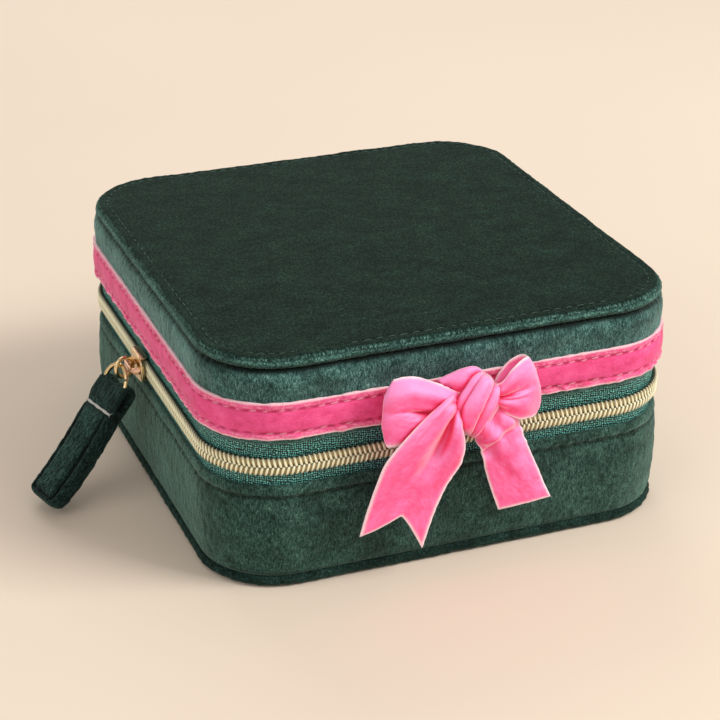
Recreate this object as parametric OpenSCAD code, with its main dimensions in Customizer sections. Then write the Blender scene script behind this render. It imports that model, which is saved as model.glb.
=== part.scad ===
// Square velvet travel jewelry case with a zip round three sides, a ribbon
// band with a tied bow on the lid, and a velvet pull tab on the zip slider.
// Frame: +Z up, origin at the centre of the bottom face, bow face towards -Y,
// slider face towards -X, fabric hinge towards +Y. Millimetres. Lid closed.

/* [Case] */

// Outside width across the velvet walls, left to right
case_w = 115; // [95:1:140]
// Outside depth across the velvet walls, front to back
case_d = 119; // [98:1:145]
// Height of the closed case over the rolled top edge
case_h = 57.4; // [52:0.1:70]
// Plan radius of the four upright corners
corner_r = 18.5; // [14:0.5:24]
// Height of the line where lid and base part
split_z = 31; // [28:0.5:36]

/* [Walls] */

// Thickness of the velvet with its foam backing
velvet_t = 1.55; // [1.2:0.05:2]
// Thickness of the stiff board inside the walls
board_t = 1.6; // [1.2:0.1:2.4]
// Thickness of the lining inside the walls
lining_t = 0.55; // [0.4:0.05:1]
// Thickness of the floor board and of the top board
panel_t = 1.8; // [1.4:0.1:2.5]
// Radius of the bottom piping
base_welt_r = 1.25; // [1:0.05:1.5]
// Radius of the rolled edge round the top panel
lid_welt_r = 1.35; // [1:0.05:1.5]
// Distance between stitches in the seams
stitch_pitch = 4; // [3:0.5:8]

/* [Zip] */

// Height of the closed coil chain
chain_h = 4.5; // [4:0.1:5]
// Thickness of the coil chain
chain_t = 1.5; // [1.2:0.1:1.8]
// Slit between the two coils that the slider post runs in
chain_slit = 0.6; // [0.5:0.05:0.8]
// Thickness of the woven zip tape
tape_t = 0.5; // [0.4:0.05:0.6]
// Height of open tape between the chain and the base rim
tape_below = 2.5; // [2:0.1:3.5]
// Height of open tape between the chain and the lid wall
tape_above = 3.3; // [2.5:0.1:4.5]
// Depth of tape sewn in behind each velvet wall
tape_sewn = 4.6; // [3:0.1:6]
// Width of the fabric hinge between the zip ends at the back
hinge_w = 58; // [40:1:70]

/* [Ribbon and bow] */

// Height of the lower edge of the ribbon band
ribbon_z = 38; // [37.8:0.1:40]
// Height of the ribbon band
ribbon_h = 9; // [6:0.5:12]
// Thickness of the ribbon
ribbon_t = 0.7; // [0.5:0.05:1]
// Sideways place of the knot on the front wall
bow_x = 3.2; // [-20:0.1:20]

/* [Slider and pull] */

// Place of the slider along the left wall
slider_y = 2; // [-30:0.5:30]
// Length of the slider
slider_l = 9; // [8:0.1:10]
// Width of the slider across the chain
slider_w = 6.8; // [6.2:0.1:7.5]
// Turn of the hanging pull away from square to the wall
pull_yaw = 15; // [0:1:20]
// Ring radius of the small link, to the middle of its wire
link_r = 2.4; // [2.2:0.1:2.8]
// Ring radius of the jump ring, to the middle of its wire
ring_r = 4.6; // [4.2:0.1:5.2]
// Wire radius of the jump ring
ring_wire = 0.55; // [0.4:0.05:0.6]
// Length of the velvet pull tab below its loop
tab_l = 28.6; // [20:0.1:28.6]
// Width of the velvet pull tab
tab_w = 10.4; // [8:0.2:12]
// Thickness of the velvet pull tab
tab_t = 4.4; // [3.6:0.1:4.6]
// Slope of the pull tab below level
tab_slope = 50; // [45:1:60]

/* [Inside] */

// Diameter of one ring roll
roll_d = 11; // [9:0.5:12]
// Number of ring rolls, each its own node
roll_n = 6; // [6:1:6]
// Height of the dividers above the floor pad
divider_h = 16; // [10:0.5:18]
// Thickness of a divider
divider_t = 2.4; // [1.8:0.1:3]
// Side of the square mirror
mirror_s = 72; // [50:1:76]

/* [Hidden] */

$fn = 48;
gap = 0.05; // between layers that lie together
clearance = 0.1; // looser fit between parts

half_w = case_w / 2;
half_d = case_d / 2;
half_slit = chain_slit / 2;
half_chain = chain_h / 2;

// Insets run inwards from the outer velvet face; the coil stands proud, so its
// outer inset is negative
tape_inset = velvet_t - tape_t - gap;
seat_inset = tape_inset - gap; // inner face of the coil and of the thinned velvet
coil_inset = seat_inset - chain_t;
board_inset = velvet_t + gap;
lining_inset = board_inset + board_t + gap;
room_inset = lining_inset + lining_t + gap;

// Heights in the base
bottom_t = 1;
floor_board_z = bottom_t + clearance;
inside_z = floor_board_z + panel_t + clearance;
pad_t = 2;
divider_z = inside_z + pad_t + gap;
rim_z = split_z - half_chain - tape_below;
tape_foot_z = rim_z - tape_sewn + clearance;

// Heights in the lid
lid_z = split_z + half_chain + tape_above;
tape_head_z = lid_z + tape_sewn - clearance;
lid_welt_z = case_h - 2 * lid_welt_r; // underside of the rolled edge
top_board_z = lid_welt_z - 0.2 - panel_t;

velvet = [0.12, 0.24, 0.21];
lining = [0.85, 0.8, 0.72];
pink = [0.9, 0.28, 0.52];
gold = [0.86, 0.74, 0.45];
teal = [0.08, 0.36, 0.33];

// ---- helpers ----

module rounded_rect(width, depth, radius) {
    square([width - 2 * radius, depth], center = true);
    square([width, depth - 2 * radius], center = true);
    for (x = [-1, 1], y = [-1, 1])
        translate([x * (width / 2 - radius), y * (depth / 2 - radius)]) circle(radius);
}

// Plate in the case outline
module plate(inset, z, thick) {
    translate([0, 0, z]) linear_extrude(thick)
        rounded_rect(case_w - 2 * inset, case_d - 2 * inset, corner_r - inset);
}

// Wall round the case between two insets and two heights
module wall_ring(outer, inner, z0, z1) {
    difference() {
        plate(outer, z0, z1 - z0);
        plate(inner, z0 - 1, z1 - z0 + 2);
    }
}

// Wall ring with the hinge span at the back cut away
module zip_ring(outer, inner, z0, z1) {
    side = 0.5;
    difference() {
        wall_ring(outer, inner, z0, z1);
        translate([-hinge_w / 2 - side, half_d - 6, z0 - 1])
            cube([hinge_w + 2 * side, 12, z1 - z0 + 2]);
    }
}

// Quarter bend of a cord, from +X round to +Y
module cord_bend(bend_r, cord_r) {
    rotate_extrude(angle = 90) translate([bend_r, 0]) circle(cord_r);
}

// Round cord following the case outline, its middle line at the inset
module cord(inset, z, cord_r) {
    corner_x = half_w - corner_r;
    corner_y = half_d - corner_r;
    bend_r = corner_r - inset;
    translate([0, 0, z]) {
        for (turn = [0, 180]) rotate(turn) {
            translate([half_w - inset, -corner_y, 0]) rotate([-90, 0, 0])
                cylinder(r = cord_r, h = 2 * corner_y);
            translate([-corner_x, -(half_d - inset), 0]) rotate([0, 90, 0])
                cylinder(r = cord_r, h = 2 * corner_x);
        }
        for (turn = [0, 180]) rotate(turn) {
            translate([corner_x, corner_y, 0]) cord_bend(bend_r, cord_r);
            translate([corner_x, -corner_y, 0]) rotate(-90) cord_bend(bend_r, cord_r);
        }
    }
}

stitch_l = stitch_pitch * 0.62;
stitch_lift = 0.17; // middle of a stitch above the face it lies on

// Stitches along the four straight sides
module stitches(inset, z, across, high) {
    count_x = floor((case_w - 2 * corner_r) / stitch_pitch);
    count_y = floor((case_d - 2 * corner_r) / stitch_pitch);
    for (s = [-1, 1]) {
        for (k = [0 : count_x - 1])
            translate([(k - (count_x - 1) / 2) * stitch_pitch, s * (half_d - inset), z])
                cube([stitch_l, across, high], center = true);
        for (k = [0 : count_y - 1])
            translate([s * (half_w - inset), (k - (count_y - 1) / 2) * stitch_pitch, z])
                cube([across, stitch_l, high], center = true);
    }
}

module wall_stitches(face_inset, z) {
    stitches(face_inset - stitch_lift, z, across = 0.3, high = 0.45);
}

// Stops at both zip ends; side is -1 for the base coil, 1 for the lid coil
module zip_end_stops(side) {
    color(gold) for (s = [-1, 1])
        translate([s * (hinge_w / 2 - 0.9), half_d - (seat_inset + coil_inset) / 2,
            split_z + side * (half_chain + half_slit) / 2])
            cube([2, chain_t, half_chain - half_slit], center = true);
}

// Back strip between the zip ends
module hinge_strip(z0, z1) {
    color(velvet) translate([-hinge_w / 2, half_d - tape_inset - tape_t, z0])
        cube([hinge_w, tape_t, z1 - z0]);
}

// ---- base ----

bottom_inset = velvet_t + 0.75;
base_welt_lift = 0.25;

module base_floor_board() {
    color("tan") plate(bottom_inset, floor_board_z, panel_t);
}

module base_wall_board() {
    color("tan") wall_ring(board_inset, board_inset + board_t, inside_z, rim_z);
}

// Thinned inside the rim where the tape is sewn in
module base_velvet_wall() {
    color(velvet) difference() {
        wall_ring(0, velvet_t, base_welt_lift + 2 * base_welt_r + gap, rim_z);
        plate(seat_inset, rim_z - tape_sewn, tape_sewn + 1);
    }
}

module base_velvet_bottom() {
    color(velvet) plate(bottom_inset, 0, bottom_t);
}

module base_welt() {
    color(velvet) cord(0.9, base_welt_r + base_welt_lift, base_welt_r);
}

module base_rim_stitching() {
    color([0.3, 0.45, 0.4]) wall_stitches(0, rim_z - 3);
}

module base_zip_tape() {
    color(teal) zip_ring(tape_inset, tape_inset + tape_t, tape_foot_z, split_z - half_slit);
}

module base_zip_coil() {
    color(gold) zip_ring(coil_inset, seat_inset, split_z - half_chain, split_z - half_slit);
}

module base_zip_end_stops() {
    zip_end_stops(-1);
}

module base_lining_wall() {
    color(lining) wall_ring(lining_inset, lining_inset + lining_t, inside_z, rim_z);
}

module base_floor_pad() {
    color(lining) plate(room_inset, inside_z, pad_t);
}

module hinge_strip_base() {
    hinge_strip(tape_foot_z, split_z - clearance);
}

// ---- dividers and ring rolls ----

long_divider_x = -4; // middle of the long divider
left_divider_y = 16; // front faces of the cross dividers
right_divider_y = 2;
long_divider_left = long_divider_x - divider_t / 2 - gap;
long_divider_right = long_divider_x + divider_t / 2 + gap;

module divider_long() {
    color(lining) translate([long_divider_x, 0, divider_z + divider_h / 2])
        cube([divider_t, case_d - 2 * (room_inset + clearance), divider_h], center = true);
}

module divider_cross(x0, x1, y) {
    color(lining) translate([x0, y, divider_z]) cube([x1 - x0, divider_t, divider_h]);
}

module divider_cross_left() {
    divider_cross(-half_w + room_inset + clearance, long_divider_left, left_divider_y);
}

module divider_cross_right() {
    divider_cross(long_divider_right, half_w - room_inset - clearance, right_divider_y);
}

// Roll k, counted from the front; the first is cut short at its left end
module ring_roll(k) {
    roll_gap = 0.12;
    first_cut = 4.5;
    x0 = -half_w + room_inset + 1 + (k == 1 ? first_cut : 0);
    x1 = long_divider_left - 0.3;
    y = left_divider_y - 0.2 - roll_d / 2 - (roll_d + roll_gap) * (roll_n - k);
    color([0.9, 0.85, 0.78]) translate([x0, y, divider_z + roll_d / 2]) rotate([0, 90, 0])
        cylinder(d = roll_d, h = x1 - x0);
}

// ---- lid ----

foam_t = 1.5;
foam_z = top_board_z + panel_t + gap;
top_velvet_t = 1.15;
top_velvet_z = foam_z + foam_t + gap;

module lid_top_board() {
    color("tan") plate(board_inset, top_board_z, panel_t);
}

module lid_wall_board() {
    color("tan") wall_ring(board_inset, board_inset + board_t, lid_z, top_board_z - gap);
}

module lid_foam_pad() {
    color([0.9, 0.88, 0.8]) plate(2.6, foam_z, foam_t);
}

module lid_velvet_top() {
    color(velvet) plate(2.55, top_velvet_z, top_velvet_t);
}

// Thinned inside its lower edge where the tape is sewn in
module lid_velvet_wall() {
    color(velvet) difference() {
        wall_ring(0, velvet_t, lid_z, lid_welt_z - gap);
        plate(seat_inset, lid_z - 1, tape_sewn + 1);
    }
}

module lid_welt() {
    color(velvet) cord(1.1, case_h - lid_welt_r, lid_welt_r);
}

module lid_top_stitching() {
    color([0.35, 0.5, 0.45])
        stitches(3.3, top_velvet_z + top_velvet_t + stitch_lift, across = 0.4, high = 0.3);
}

module lid_zip_tape() {
    color(teal) zip_ring(tape_inset, tape_inset + tape_t, split_z + half_slit, tape_head_z);
}

module lid_zip_coil() {
    color(gold) zip_ring(coil_inset, seat_inset, split_z + half_slit, split_z + half_chain);
}

module lid_zip_end_stops() {
    zip_end_stops(1);
}

module lid_lining_wall() {
    color(lining) wall_ring(lining_inset, lining_inset + lining_t, lid_z, top_board_z - gap);
}

module hinge_strip_lid() {
    hinge_strip(split_z + clearance, tape_head_z);
}

// ---- lid lining and mirror ----

lid_panel_t = 0.6;
lid_panel_z = top_board_z - gap - lid_panel_t;
mirror_top_z = lid_panel_z - gap;
mirror_r = 6;
mirror_t = 1.8;
frame_s = mirror_s + 9;
frame_r = 10;
frame_t = 2.2;

module lid_lining_panel() {
    color(lining) plate(room_inset, lid_panel_z, lid_panel_t);
}

module mirror_frame() {
    opening_s = mirror_s + 2 * clearance;
    color(lining) difference() {
        translate([0, 0, mirror_top_z - frame_t]) linear_extrude(frame_t)
            rounded_rect(frame_s, frame_s, frame_r);
        translate([0, 0, mirror_top_z - 3]) linear_extrude(4)
            rounded_rect(opening_s, opening_s, mirror_r + clearance);
    }
}

module mirror_glass() {
    color("lightblue") translate([0, 0, mirror_top_z - mirror_t]) linear_extrude(mirror_t)
        rounded_rect(mirror_s, mirror_s, mirror_r);
}

// ---- ribbon ----

ribbon_out = gap + ribbon_t; // outer ribbon face beyond the velvet
ribbon_seam = 1.8; // from a ribbon edge to its stitches

module ribbon_band() {
    color(pink) wall_ring(-ribbon_out, -gap, ribbon_z, ribbon_z + ribbon_h);
}

module ribbon_stitching(z) {
    color([1, 0.6, 0.75]) wall_stitches(-ribbon_out, z);
}

module ribbon_stitching_upper() {
    ribbon_stitching(ribbon_z + ribbon_h - ribbon_seam);
}

module ribbon_stitching_lower() {
    ribbon_stitching(ribbon_z + ribbon_seam);
}

// ---- bow ----

loop_h = 6.4; // how far a side loop stands off the wall
loop_t = 0.8; // ribbon thickness in a side loop
tail_t = 0.9;

// Tail outlines: x to the right, y up the wall
tail_left_points = [
    [-8, -2], [-5.6, -7.8], [-7.5, -20], [-14.4, -35.6],
    [-20, -28], [-29.9, -29.4], [-22, -13], [-15, -4]];
tail_right_points = [
    [3.4, -10.6], [10.4, -7.6], [13.4, -16],
    [18.4, -28.2], [6.2, -29.6], [4.2, -18]];

// Frame of the bow: x to the right, y up the wall, z away from the front wall
module at_bow() {
    translate([bow_x, -half_d - ribbon_out - 0.5, ribbon_z + ribbon_h / 2 - 1])
        rotate([90, 0, 0]) children();
}

// Side view of a loop: a bar with round ends
module loop_face(length, height) {
    translate([height / 2, height / 2]) circle(d = height);
    translate([length - height / 2, height / 2]) circle(d = height);
    translate([height / 2, 0]) square([length - height, height]);
}

// Hollow loop standing on the wall: x out from the knot, z away from the wall
module side_loop(length, width) {
    translate([0, -width / 2, 0]) rotate([-90, 0, 0]) mirror([0, 1, 0]) linear_extrude(width)
        difference() {
            loop_face(length, loop_h);
            translate([loop_t, loop_t]) loop_face(length - 2 * loop_t, loop_h - 2 * loop_t);
        }
}

module bow_loop_left() {
    color(pink) at_bow() translate([-6.3, 0.2, 0]) rotate([0, 0, 183])
        side_loop(length = 17.4, width = 15);
}

module bow_loop_right() {
    color(pink) at_bow() translate([6.2, 0.4, 0]) rotate([0, 0, 14])
        side_loop(length = 10.4, width = 13.5);
}

// Flat block above the knot
module bow_loop_back() {
    color(pink) at_bow() translate([-1.4, 7.2, 0.2]) linear_extrude(2.6)
        rounded_rect(width = 9.4, depth = 4.2, radius = 1.5);
}

module bow_knot() {
    color(pink) at_bow() translate([0.6, -2.6, 0.3]) rotate([0, 0, -24]) linear_extrude(7.2)
        rounded_rect(width = 8.6, depth = 13, radius = 3.8);
}

// Flat tail starting at height z off the wall, its lower end leaning in
module bow_tail(points, z, lean) {
    color(pink) at_bow() translate([0, 0, z]) rotate([lean, 0, 0])
        translate([0, 0, 0.1]) linear_extrude(tail_t) polygon(points);
}

module bow_tail_left() {
    bow_tail(tail_left_points, z = 7.6, lean = 7);
}

module bow_tail_right() {
    bow_tail(tail_right_points, z = 1, lean = 3);
}

// ---- slider ----

// Outs run outwards from the velvet face of the left wall
front_plate_t = 1;
front_plate_out = -coil_inset + 0.2; // plate face next to the coil
slider_out = front_plate_out + front_plate_t;
back_plate_t = 0.7;
back_plate_inset = tape_inset + tape_t + 0.15;
window_half = 0.8; // half the bridge window, square to the wall
window_w = 4.6;
bridge_out = slider_out + window_half; // middle of the window
bridge_bar = 0.75;
bridge_leg = 1;
bridge_h = 1.6;

// Frame of the slider: on the velvet face, -X outwards
module at_slider() {
    translate([-half_w, slider_y, split_z]) children();
}

// Two plates joined by a post through the slit, with a lip under the chain
module slider_body() {
    post_l = 6;
    post_play = 0.12;
    post_x = -front_plate_out - front_plate_t / 2;
    post_end = back_plate_inset + back_plate_t / 2;
    color(gold) at_slider() {
        translate([-slider_out, -slider_l / 2, -slider_w / 2])
            cube([front_plate_t, slider_l, slider_w]);
        translate([post_x, -post_l / 2, -half_slit + post_play])
            cube([post_end - post_x, post_l, chain_slit - 2 * post_play]);
        translate([back_plate_inset, -slider_l / 2, -slider_w / 2])
            cube([back_plate_t, slider_l, slider_w]);
        translate([post_x, -slider_l / 2, -slider_w / 2])
            cube([1.5, slider_l, slider_w / 2 - half_chain - 0.15]);
    }
}

module slider_bridge() {
    outer = bridge_out + window_half + bridge_bar;
    bridge_w = window_w + 2 * bridge_leg;
    color(gold) at_slider() difference() {
        translate([-outer, -bridge_w / 2, -bridge_h / 2])
            cube([outer - slider_out - gap, bridge_w, bridge_h]);
        translate([-bridge_out - window_half, -window_w / 2, -2])
            cube([2 * window_half - gap, window_w, 4]);
    }
}

// ---- pull link and ring ----

link_wire = 0.5;
link_lift = 0.4; // link centre above the split line
link_x = sqrt(link_r * link_r - link_lift * link_lift);
grip_x = link_x + 0.92; // top of the jump ring, in the link
grip_z = 1.17;
ring_tilt = 25;

// Frame of the hanging pull: x outwards from the bridge, y towards the front
module at_pull() {
    translate([-half_w - bridge_out, slider_y, split_z]) rotate(180 + pull_yaw) children();
}

module pull_link() {
    color(gold) at_pull() translate([link_x, 0, link_lift]) rotate([90, 0, 0])
        rotate_extrude() translate([link_r, 0]) circle(link_wire);
}

// Hangs from the grip point, its lower end swung outwards
module pull_ring() {
    color(gold) at_pull() translate([grip_x, 0, grip_z]) rotate([0, -ring_tilt, 0])
        translate([0, 0, -ring_r]) rotate([0, 90, 0]) rotate_extrude()
            translate([ring_r, 0]) circle(ring_wire);
}

// ---- pull tab ----

tab_corner_r = 3.2;
tab_start = 1.8;
loop_len = 2.8; // from the tab frame's origin back to the loop's round end
loop_w = 5.2;
loop_outer_r = 2.2;
loop_hole_r = 1.5;
core_t = 1.6;
pocket_start = 4;
pocket_end = 3.5; // solid velvet left at the far end
pocket_side = 1.2; // solid velvet left at each side

// Frame of the tab at the bottom of the ring: x along the tab away from its loop
module at_tab() {
    at_pull() translate([grip_x + 2 * ring_r * sin(ring_tilt), 0,
        grip_z - 2 * ring_r * cos(ring_tilt)])
        rotate([0, tab_slope, 0]) children();
}

// Flat bar with its two far corners rounded
module tab_body() {
    inner_w = tab_w / 2 - tab_corner_r;
    translate([tab_l - tab_corner_r, 0, -tab_t / 2]) for (s = [-1, 1])
        translate([0, s * inner_w, 0]) cylinder(r = tab_corner_r, h = tab_t);
    translate([tab_start, -tab_w / 2, -tab_t / 2])
        cube([tab_l - tab_corner_r - tab_start, tab_w, tab_t]);
    translate([tab_start, -inner_w, -tab_t / 2]) cube([tab_l - tab_start, 2 * inner_w, tab_t]);
}

// Space for the core, shrunk by fit on every side
module core_block(fit) {
    side = pocket_side + fit;
    thick = core_t + 2 * (clearance - fit);
    translate([pocket_start + fit, -tab_w / 2 + side, -thick / 2])
        cube([tab_l - pocket_start - pocket_end - 2 * fit, tab_w - 2 * side, thick]);
}

module pull_tab_velvet() {
    color(velvet) at_tab() difference() {
        union() {
            tab_body();
            translate([-loop_len, 0, 0]) rotate([90, 0, 0])
                cylinder(r = loop_outer_r, h = loop_w, center = true);
            translate([-loop_len, -loop_w / 2, -loop_outer_r])
                cube([loop_len + 3, loop_w, 2 * loop_outer_r]);
        }
        for (x = [0, -loop_len]) translate([x, 0, 0]) rotate([90, 0, 0])
            cylinder(r = loop_hole_r, h = 12, center = true);
        translate([-loop_len, -6, -loop_hole_r]) cube([loop_len, 12, 2 * loop_hole_r]);
        core_block(fit = 0);
    }
}

module pull_tab_core() {
    color([0.8, 0.78, 0.7]) at_tab() core_block(fit = clearance);
}

module pull_tab_bar_tack() {
    color("white") at_tab() translate([2.6, 0, tab_t / 2 + 0.22])
        cube([0.4, 8, 0.4], center = true);
}

// ---- nodes ----

base_floor_board();
base_wall_board();
base_velvet_wall();
base_velvet_bottom();
base_welt();
base_rim_stitching();
base_zip_tape();
base_zip_coil();
base_zip_end_stops();
base_lining_wall();
base_floor_pad();
divider_long();
divider_cross_left();
divider_cross_right();
ring_roll(1);  // ring_roll_1
ring_roll(2);  // ring_roll_2
ring_roll(3);  // ring_roll_3
ring_roll(4);  // ring_roll_4
ring_roll(5);  // ring_roll_5
ring_roll(6);  // ring_roll_6
hinge_strip_base();
lid_top_board();
lid_wall_board();
lid_foam_pad();
lid_velvet_top();
lid_velvet_wall();
lid_welt();
lid_top_stitching();
ribbon_band();
ribbon_stitching_upper();
ribbon_stitching_lower();
lid_zip_tape();
lid_zip_coil();
lid_zip_end_stops();
lid_lining_wall();
lid_lining_panel();
mirror_frame();
mirror_glass();
hinge_strip_lid();
bow_loop_left();
bow_loop_right();
bow_loop_back();
bow_knot();
bow_tail_left();
bow_tail_right();
slider_body();
slider_bridge();
pull_link();
pull_ring();
pull_tab_velvet();
pull_tab_core();
pull_tab_bar_tack();
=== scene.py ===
"""A zipped jewellery case in green velvet, with a pink ribbon band, a bow and a padded zip pull.

The case stands on z = 0 with its front towards -y, the hinge at +y and the slider on the left
(-x). The base and the lid are shown closed. Inside are ring rolls, dividers and a lid mirror.
Lengths are in millimetres; add_mesh turns them into metres.
"""
import bpy
import bmesh
import math
import numpy as np
from mathutils import Matrix, Vector


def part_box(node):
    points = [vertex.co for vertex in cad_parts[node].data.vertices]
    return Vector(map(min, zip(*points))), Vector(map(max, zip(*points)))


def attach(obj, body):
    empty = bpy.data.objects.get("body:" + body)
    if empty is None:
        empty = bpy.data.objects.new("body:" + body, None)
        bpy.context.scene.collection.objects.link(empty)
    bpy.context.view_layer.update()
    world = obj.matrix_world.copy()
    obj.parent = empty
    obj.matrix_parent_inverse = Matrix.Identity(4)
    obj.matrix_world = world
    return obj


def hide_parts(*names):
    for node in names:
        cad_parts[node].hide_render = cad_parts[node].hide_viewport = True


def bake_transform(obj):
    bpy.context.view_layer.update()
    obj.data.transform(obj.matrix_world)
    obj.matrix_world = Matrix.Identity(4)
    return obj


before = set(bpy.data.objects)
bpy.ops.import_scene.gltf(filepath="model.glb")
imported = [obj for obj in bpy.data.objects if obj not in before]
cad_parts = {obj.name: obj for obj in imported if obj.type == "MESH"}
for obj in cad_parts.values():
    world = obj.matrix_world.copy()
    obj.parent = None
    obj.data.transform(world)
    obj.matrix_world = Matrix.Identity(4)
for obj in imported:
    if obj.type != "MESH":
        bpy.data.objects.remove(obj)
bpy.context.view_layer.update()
TAU = 2 * math.pi


def box_mm(node):
    low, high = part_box(node)
    return np.array(low) * 1000, np.array(high) * 1000


def pick(full):
    return full


# ------------------------------------------------------------------ driving dimensions
_low, _high = box_mm("base_velvet_wall")
BOTTOM_Z = _low[2]
HALF_W, HALF_D, RIM_Z = _high
LID_Z, WALL_TOP = box_mm("lid_velvet_wall")[0][2], box_mm("lid_velvet_wall")[1][2]
_low, _high = box_mm("ribbon_band")
BAND_Z0, BAND_Z1 = _low[2], _high[2]
BAND_H = BAND_Z1 - BAND_Z0
BAND_OUT = _high[0] - HALF_W
WELT_LOW, WELT_HIGH = box_mm("lid_welt")
_base_coil, _lid_coil = box_mm("base_zip_coil"), box_mm("lid_zip_coil")
SPLIT_Z = (_base_coil[1][2] + _lid_coil[0][2]) / 2
COIL_Z0, COIL_Z1 = _base_coil[0][2], _lid_coil[1][2]
COIL_IN = HALF_W - _base_coil[1][0]
TAPE_IN = HALF_W - box_mm("base_zip_tape")[1][0]
HINGE_W = box_mm("hinge_strip_base")[1][0] * 2
PANEL_TOP = box_mm("lid_velvet_top")[1][2]
CORNER_R = 18.5

STITCH_Z = RIM_Z - 3.0      # the sewn line round the base
STITCH_PITCH = 3.2
BAND_SEAM = 1.75            # from each edge of the band
TOP_SEAM_IN = 3.45          # the seam on top of the lid, from the case's outline
TOP_PITCH = 2.9


# ------------------------------------------------------------------ numbers
def cell_hash(column, row, seed):
    mixed = (column * 374761393 + row * 668265263 + seed * 1274126177) & 0xFFFFFFFF
    mixed = ((mixed ^ (mixed >> 13)) * 1103515245) & 0xFFFFFFFF
    mixed = ((mixed ^ (mixed >> 15)) * 668265263) & 0xFFFFFFFF
    return ((mixed ^ (mixed >> 16)) & 0xFFFFFF) / float(0x1000000)


def noise(x, y, seed=0, wrap=0):
    """Smooth noise from -1 to 1; x repeats after wrap cells."""
    x, y = np.broadcast_arrays(np.asarray(x, float), np.asarray(y, float))
    left, row = np.floor(x).astype(np.int64), np.floor(y).astype(np.int64)
    x, y = x - left, y - row
    x, y = x * x * (3 - 2 * x), y * y * (3 - 2 * y)
    right = left + 1
    if wrap:
        left, right = left % wrap, right % wrap
    near = cell_hash(left, row, seed) * (1 - x) + cell_hash(right, row, seed) * x
    far = cell_hash(left, row + 1, seed) * (1 - x) + cell_hash(right, row + 1, seed) * x
    return 2 * (near * (1 - y) + far * y) - 1


def smooth(start, end, x):
    """Rises smoothly from 0 at start to 1 at end."""
    t = np.clip((x - start) / (end - start), 0, 1)
    return t * t * (3 - 2 * t)


def bell(x, centre, width):
    return np.exp(-(((x - centre) / width) ** 2))


def ripple(x, pitch, phase=0.0):
    return np.cos(x / pitch * TAU + phase)


def blunt(value, power):
    """A power that keeps the sign; below 1 it squares off an oval."""
    return np.sign(value) * np.abs(value) ** power


# ------------------------------------------------------------------ outlines and profiles
class Outline:
    """A rounded rectangle, measured from the middle of the back round by the left."""

    def __init__(self, half_w, half_d, radius):
        self.half_w, self.half_d, self.radius = half_w, half_d, radius
        self.side_x = half_w * 2 - 2 * radius
        self.side_y = half_d * 2 - 2 * radius
        self.arc = math.pi / 2 * radius
        self.length = 2 * self.side_x + 2 * self.side_y + 4 * self.arc

    def at(self, distance):
        """Points and outward normals at distances along the outline."""
        distance = np.asarray(distance, float) % self.length
        points = np.zeros(distance.shape + (2,))
        normals = np.zeros(distance.shape + (2,))
        x, y, radius = self.half_w, self.half_d, self.radius
        in_x, in_y = x - radius, y - radius
        back, left, front, right = (0, 1), (-1, 0), (0, -1), (1, 0)
        # a side: length, start, direction, normal; a corner: length, centre, first angle
        runs = [
            (self.side_x / 2, (0, y), left, back),
            (self.arc, (-in_x, in_y), 90),
            (self.side_y, (-x, in_y), front, left),
            (self.arc, (-in_x, -in_y), 180),
            (self.side_x, (-in_x, -y), right, front),
            (self.arc, (in_x, -in_y), 270),
            (self.side_y, (x, -in_y), back, right),
            (self.arc, (in_x, in_y), 0),
            (self.side_x / 2, (in_x, y), left, back),
        ]
        start = 0.0
        for i, (length, origin, *rest) in enumerate(runs):
            end = start + length + (1e-6 if i == len(runs) - 1 else 0)
            here = (distance >= start - 1e-9) & (distance < end)
            t = distance[here] - start
            if len(rest) == 2:
                points[here] = np.array(origin) + t[:, None] * np.array(rest[0])
                normals[here] = rest[1]
            else:
                angle = np.radians(rest[0]) + t / radius
                normals[here] = np.stack([np.cos(angle), np.sin(angle)], -1)
                points[here] = np.array(origin) + radius * normals[here]
            start += length
        return points, normals


CASE = Outline(HALF_W, HALF_D, CORNER_R)
PERIM = CASE.length
BAND_PITCH = PERIM / int(round(PERIM / 3.05))


def round_noise(along, cells, across, seed):
    """Noise with a whole number of cells round the case."""
    return noise(along / PERIM * cells, across, seed, cells)


def resample(profile, step):
    """Points about step apart along a polyline, and the length to each."""
    profile = np.asarray(profile, float)
    lengths = np.r_[0, np.cumsum(np.hypot(*np.diff(profile, axis=0).T))]
    t = np.linspace(0, lengths[-1], max(2, int(round(lengths[-1] / step)) + 1))
    return np.stack([np.interp(t, lengths, profile[:, k]) for k in (0, 1)], -1), t


def rounded_corner(before, corner, after, radius, limit, steps):
    """Points that round a corner, which uses up at most limit of either side."""
    size_before, size_after = np.linalg.norm(before - corner), np.linalg.norm(after - corner)
    cut = min(radius, size_before * limit, size_after * limit)
    first = corner + (before - corner) / size_before * cut
    last = corner + (after - corner) / size_after * cut
    return [(1 - t) ** 2 * first + 2 * t * (1 - t) * corner + t * t * last
            for t in np.linspace(0, 1, steps + 1)]


def round_poly(points, radius):
    """An open polyline with its inner corners rounded."""
    points = np.asarray(points, float)
    out = [points[0]]
    for i in range(1, len(points) - 1):
        out += rounded_corner(*points[i - 1:i + 2], radius, 0.45, 4)
    out.append(points[-1])
    return np.array(out)


def round_polygon(points, radii, steps):
    """A closed polygon with rounded corners; radii is one radius or one per corner."""
    points = np.asarray(points, float)
    count = len(points)
    radii = np.broadcast_to(radii, (count,))
    out = []
    for i in range(count):
        out += rounded_corner(points[i - 1], points[i], points[(i + 1) % count],
                              radii[i], 0.49, steps)
    return np.array(out)


def oval(inset, z, half_in, half_z, count, power=1.0):
    """A closed profile of count steps round a centre, from its lowest point."""
    angle = np.linspace(0, TAU, count + 1) - math.pi / 2
    return np.stack([inset - half_in * blunt(np.cos(angle), power),
                     z + half_z * blunt(np.sin(angle), power)], -1)


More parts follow.
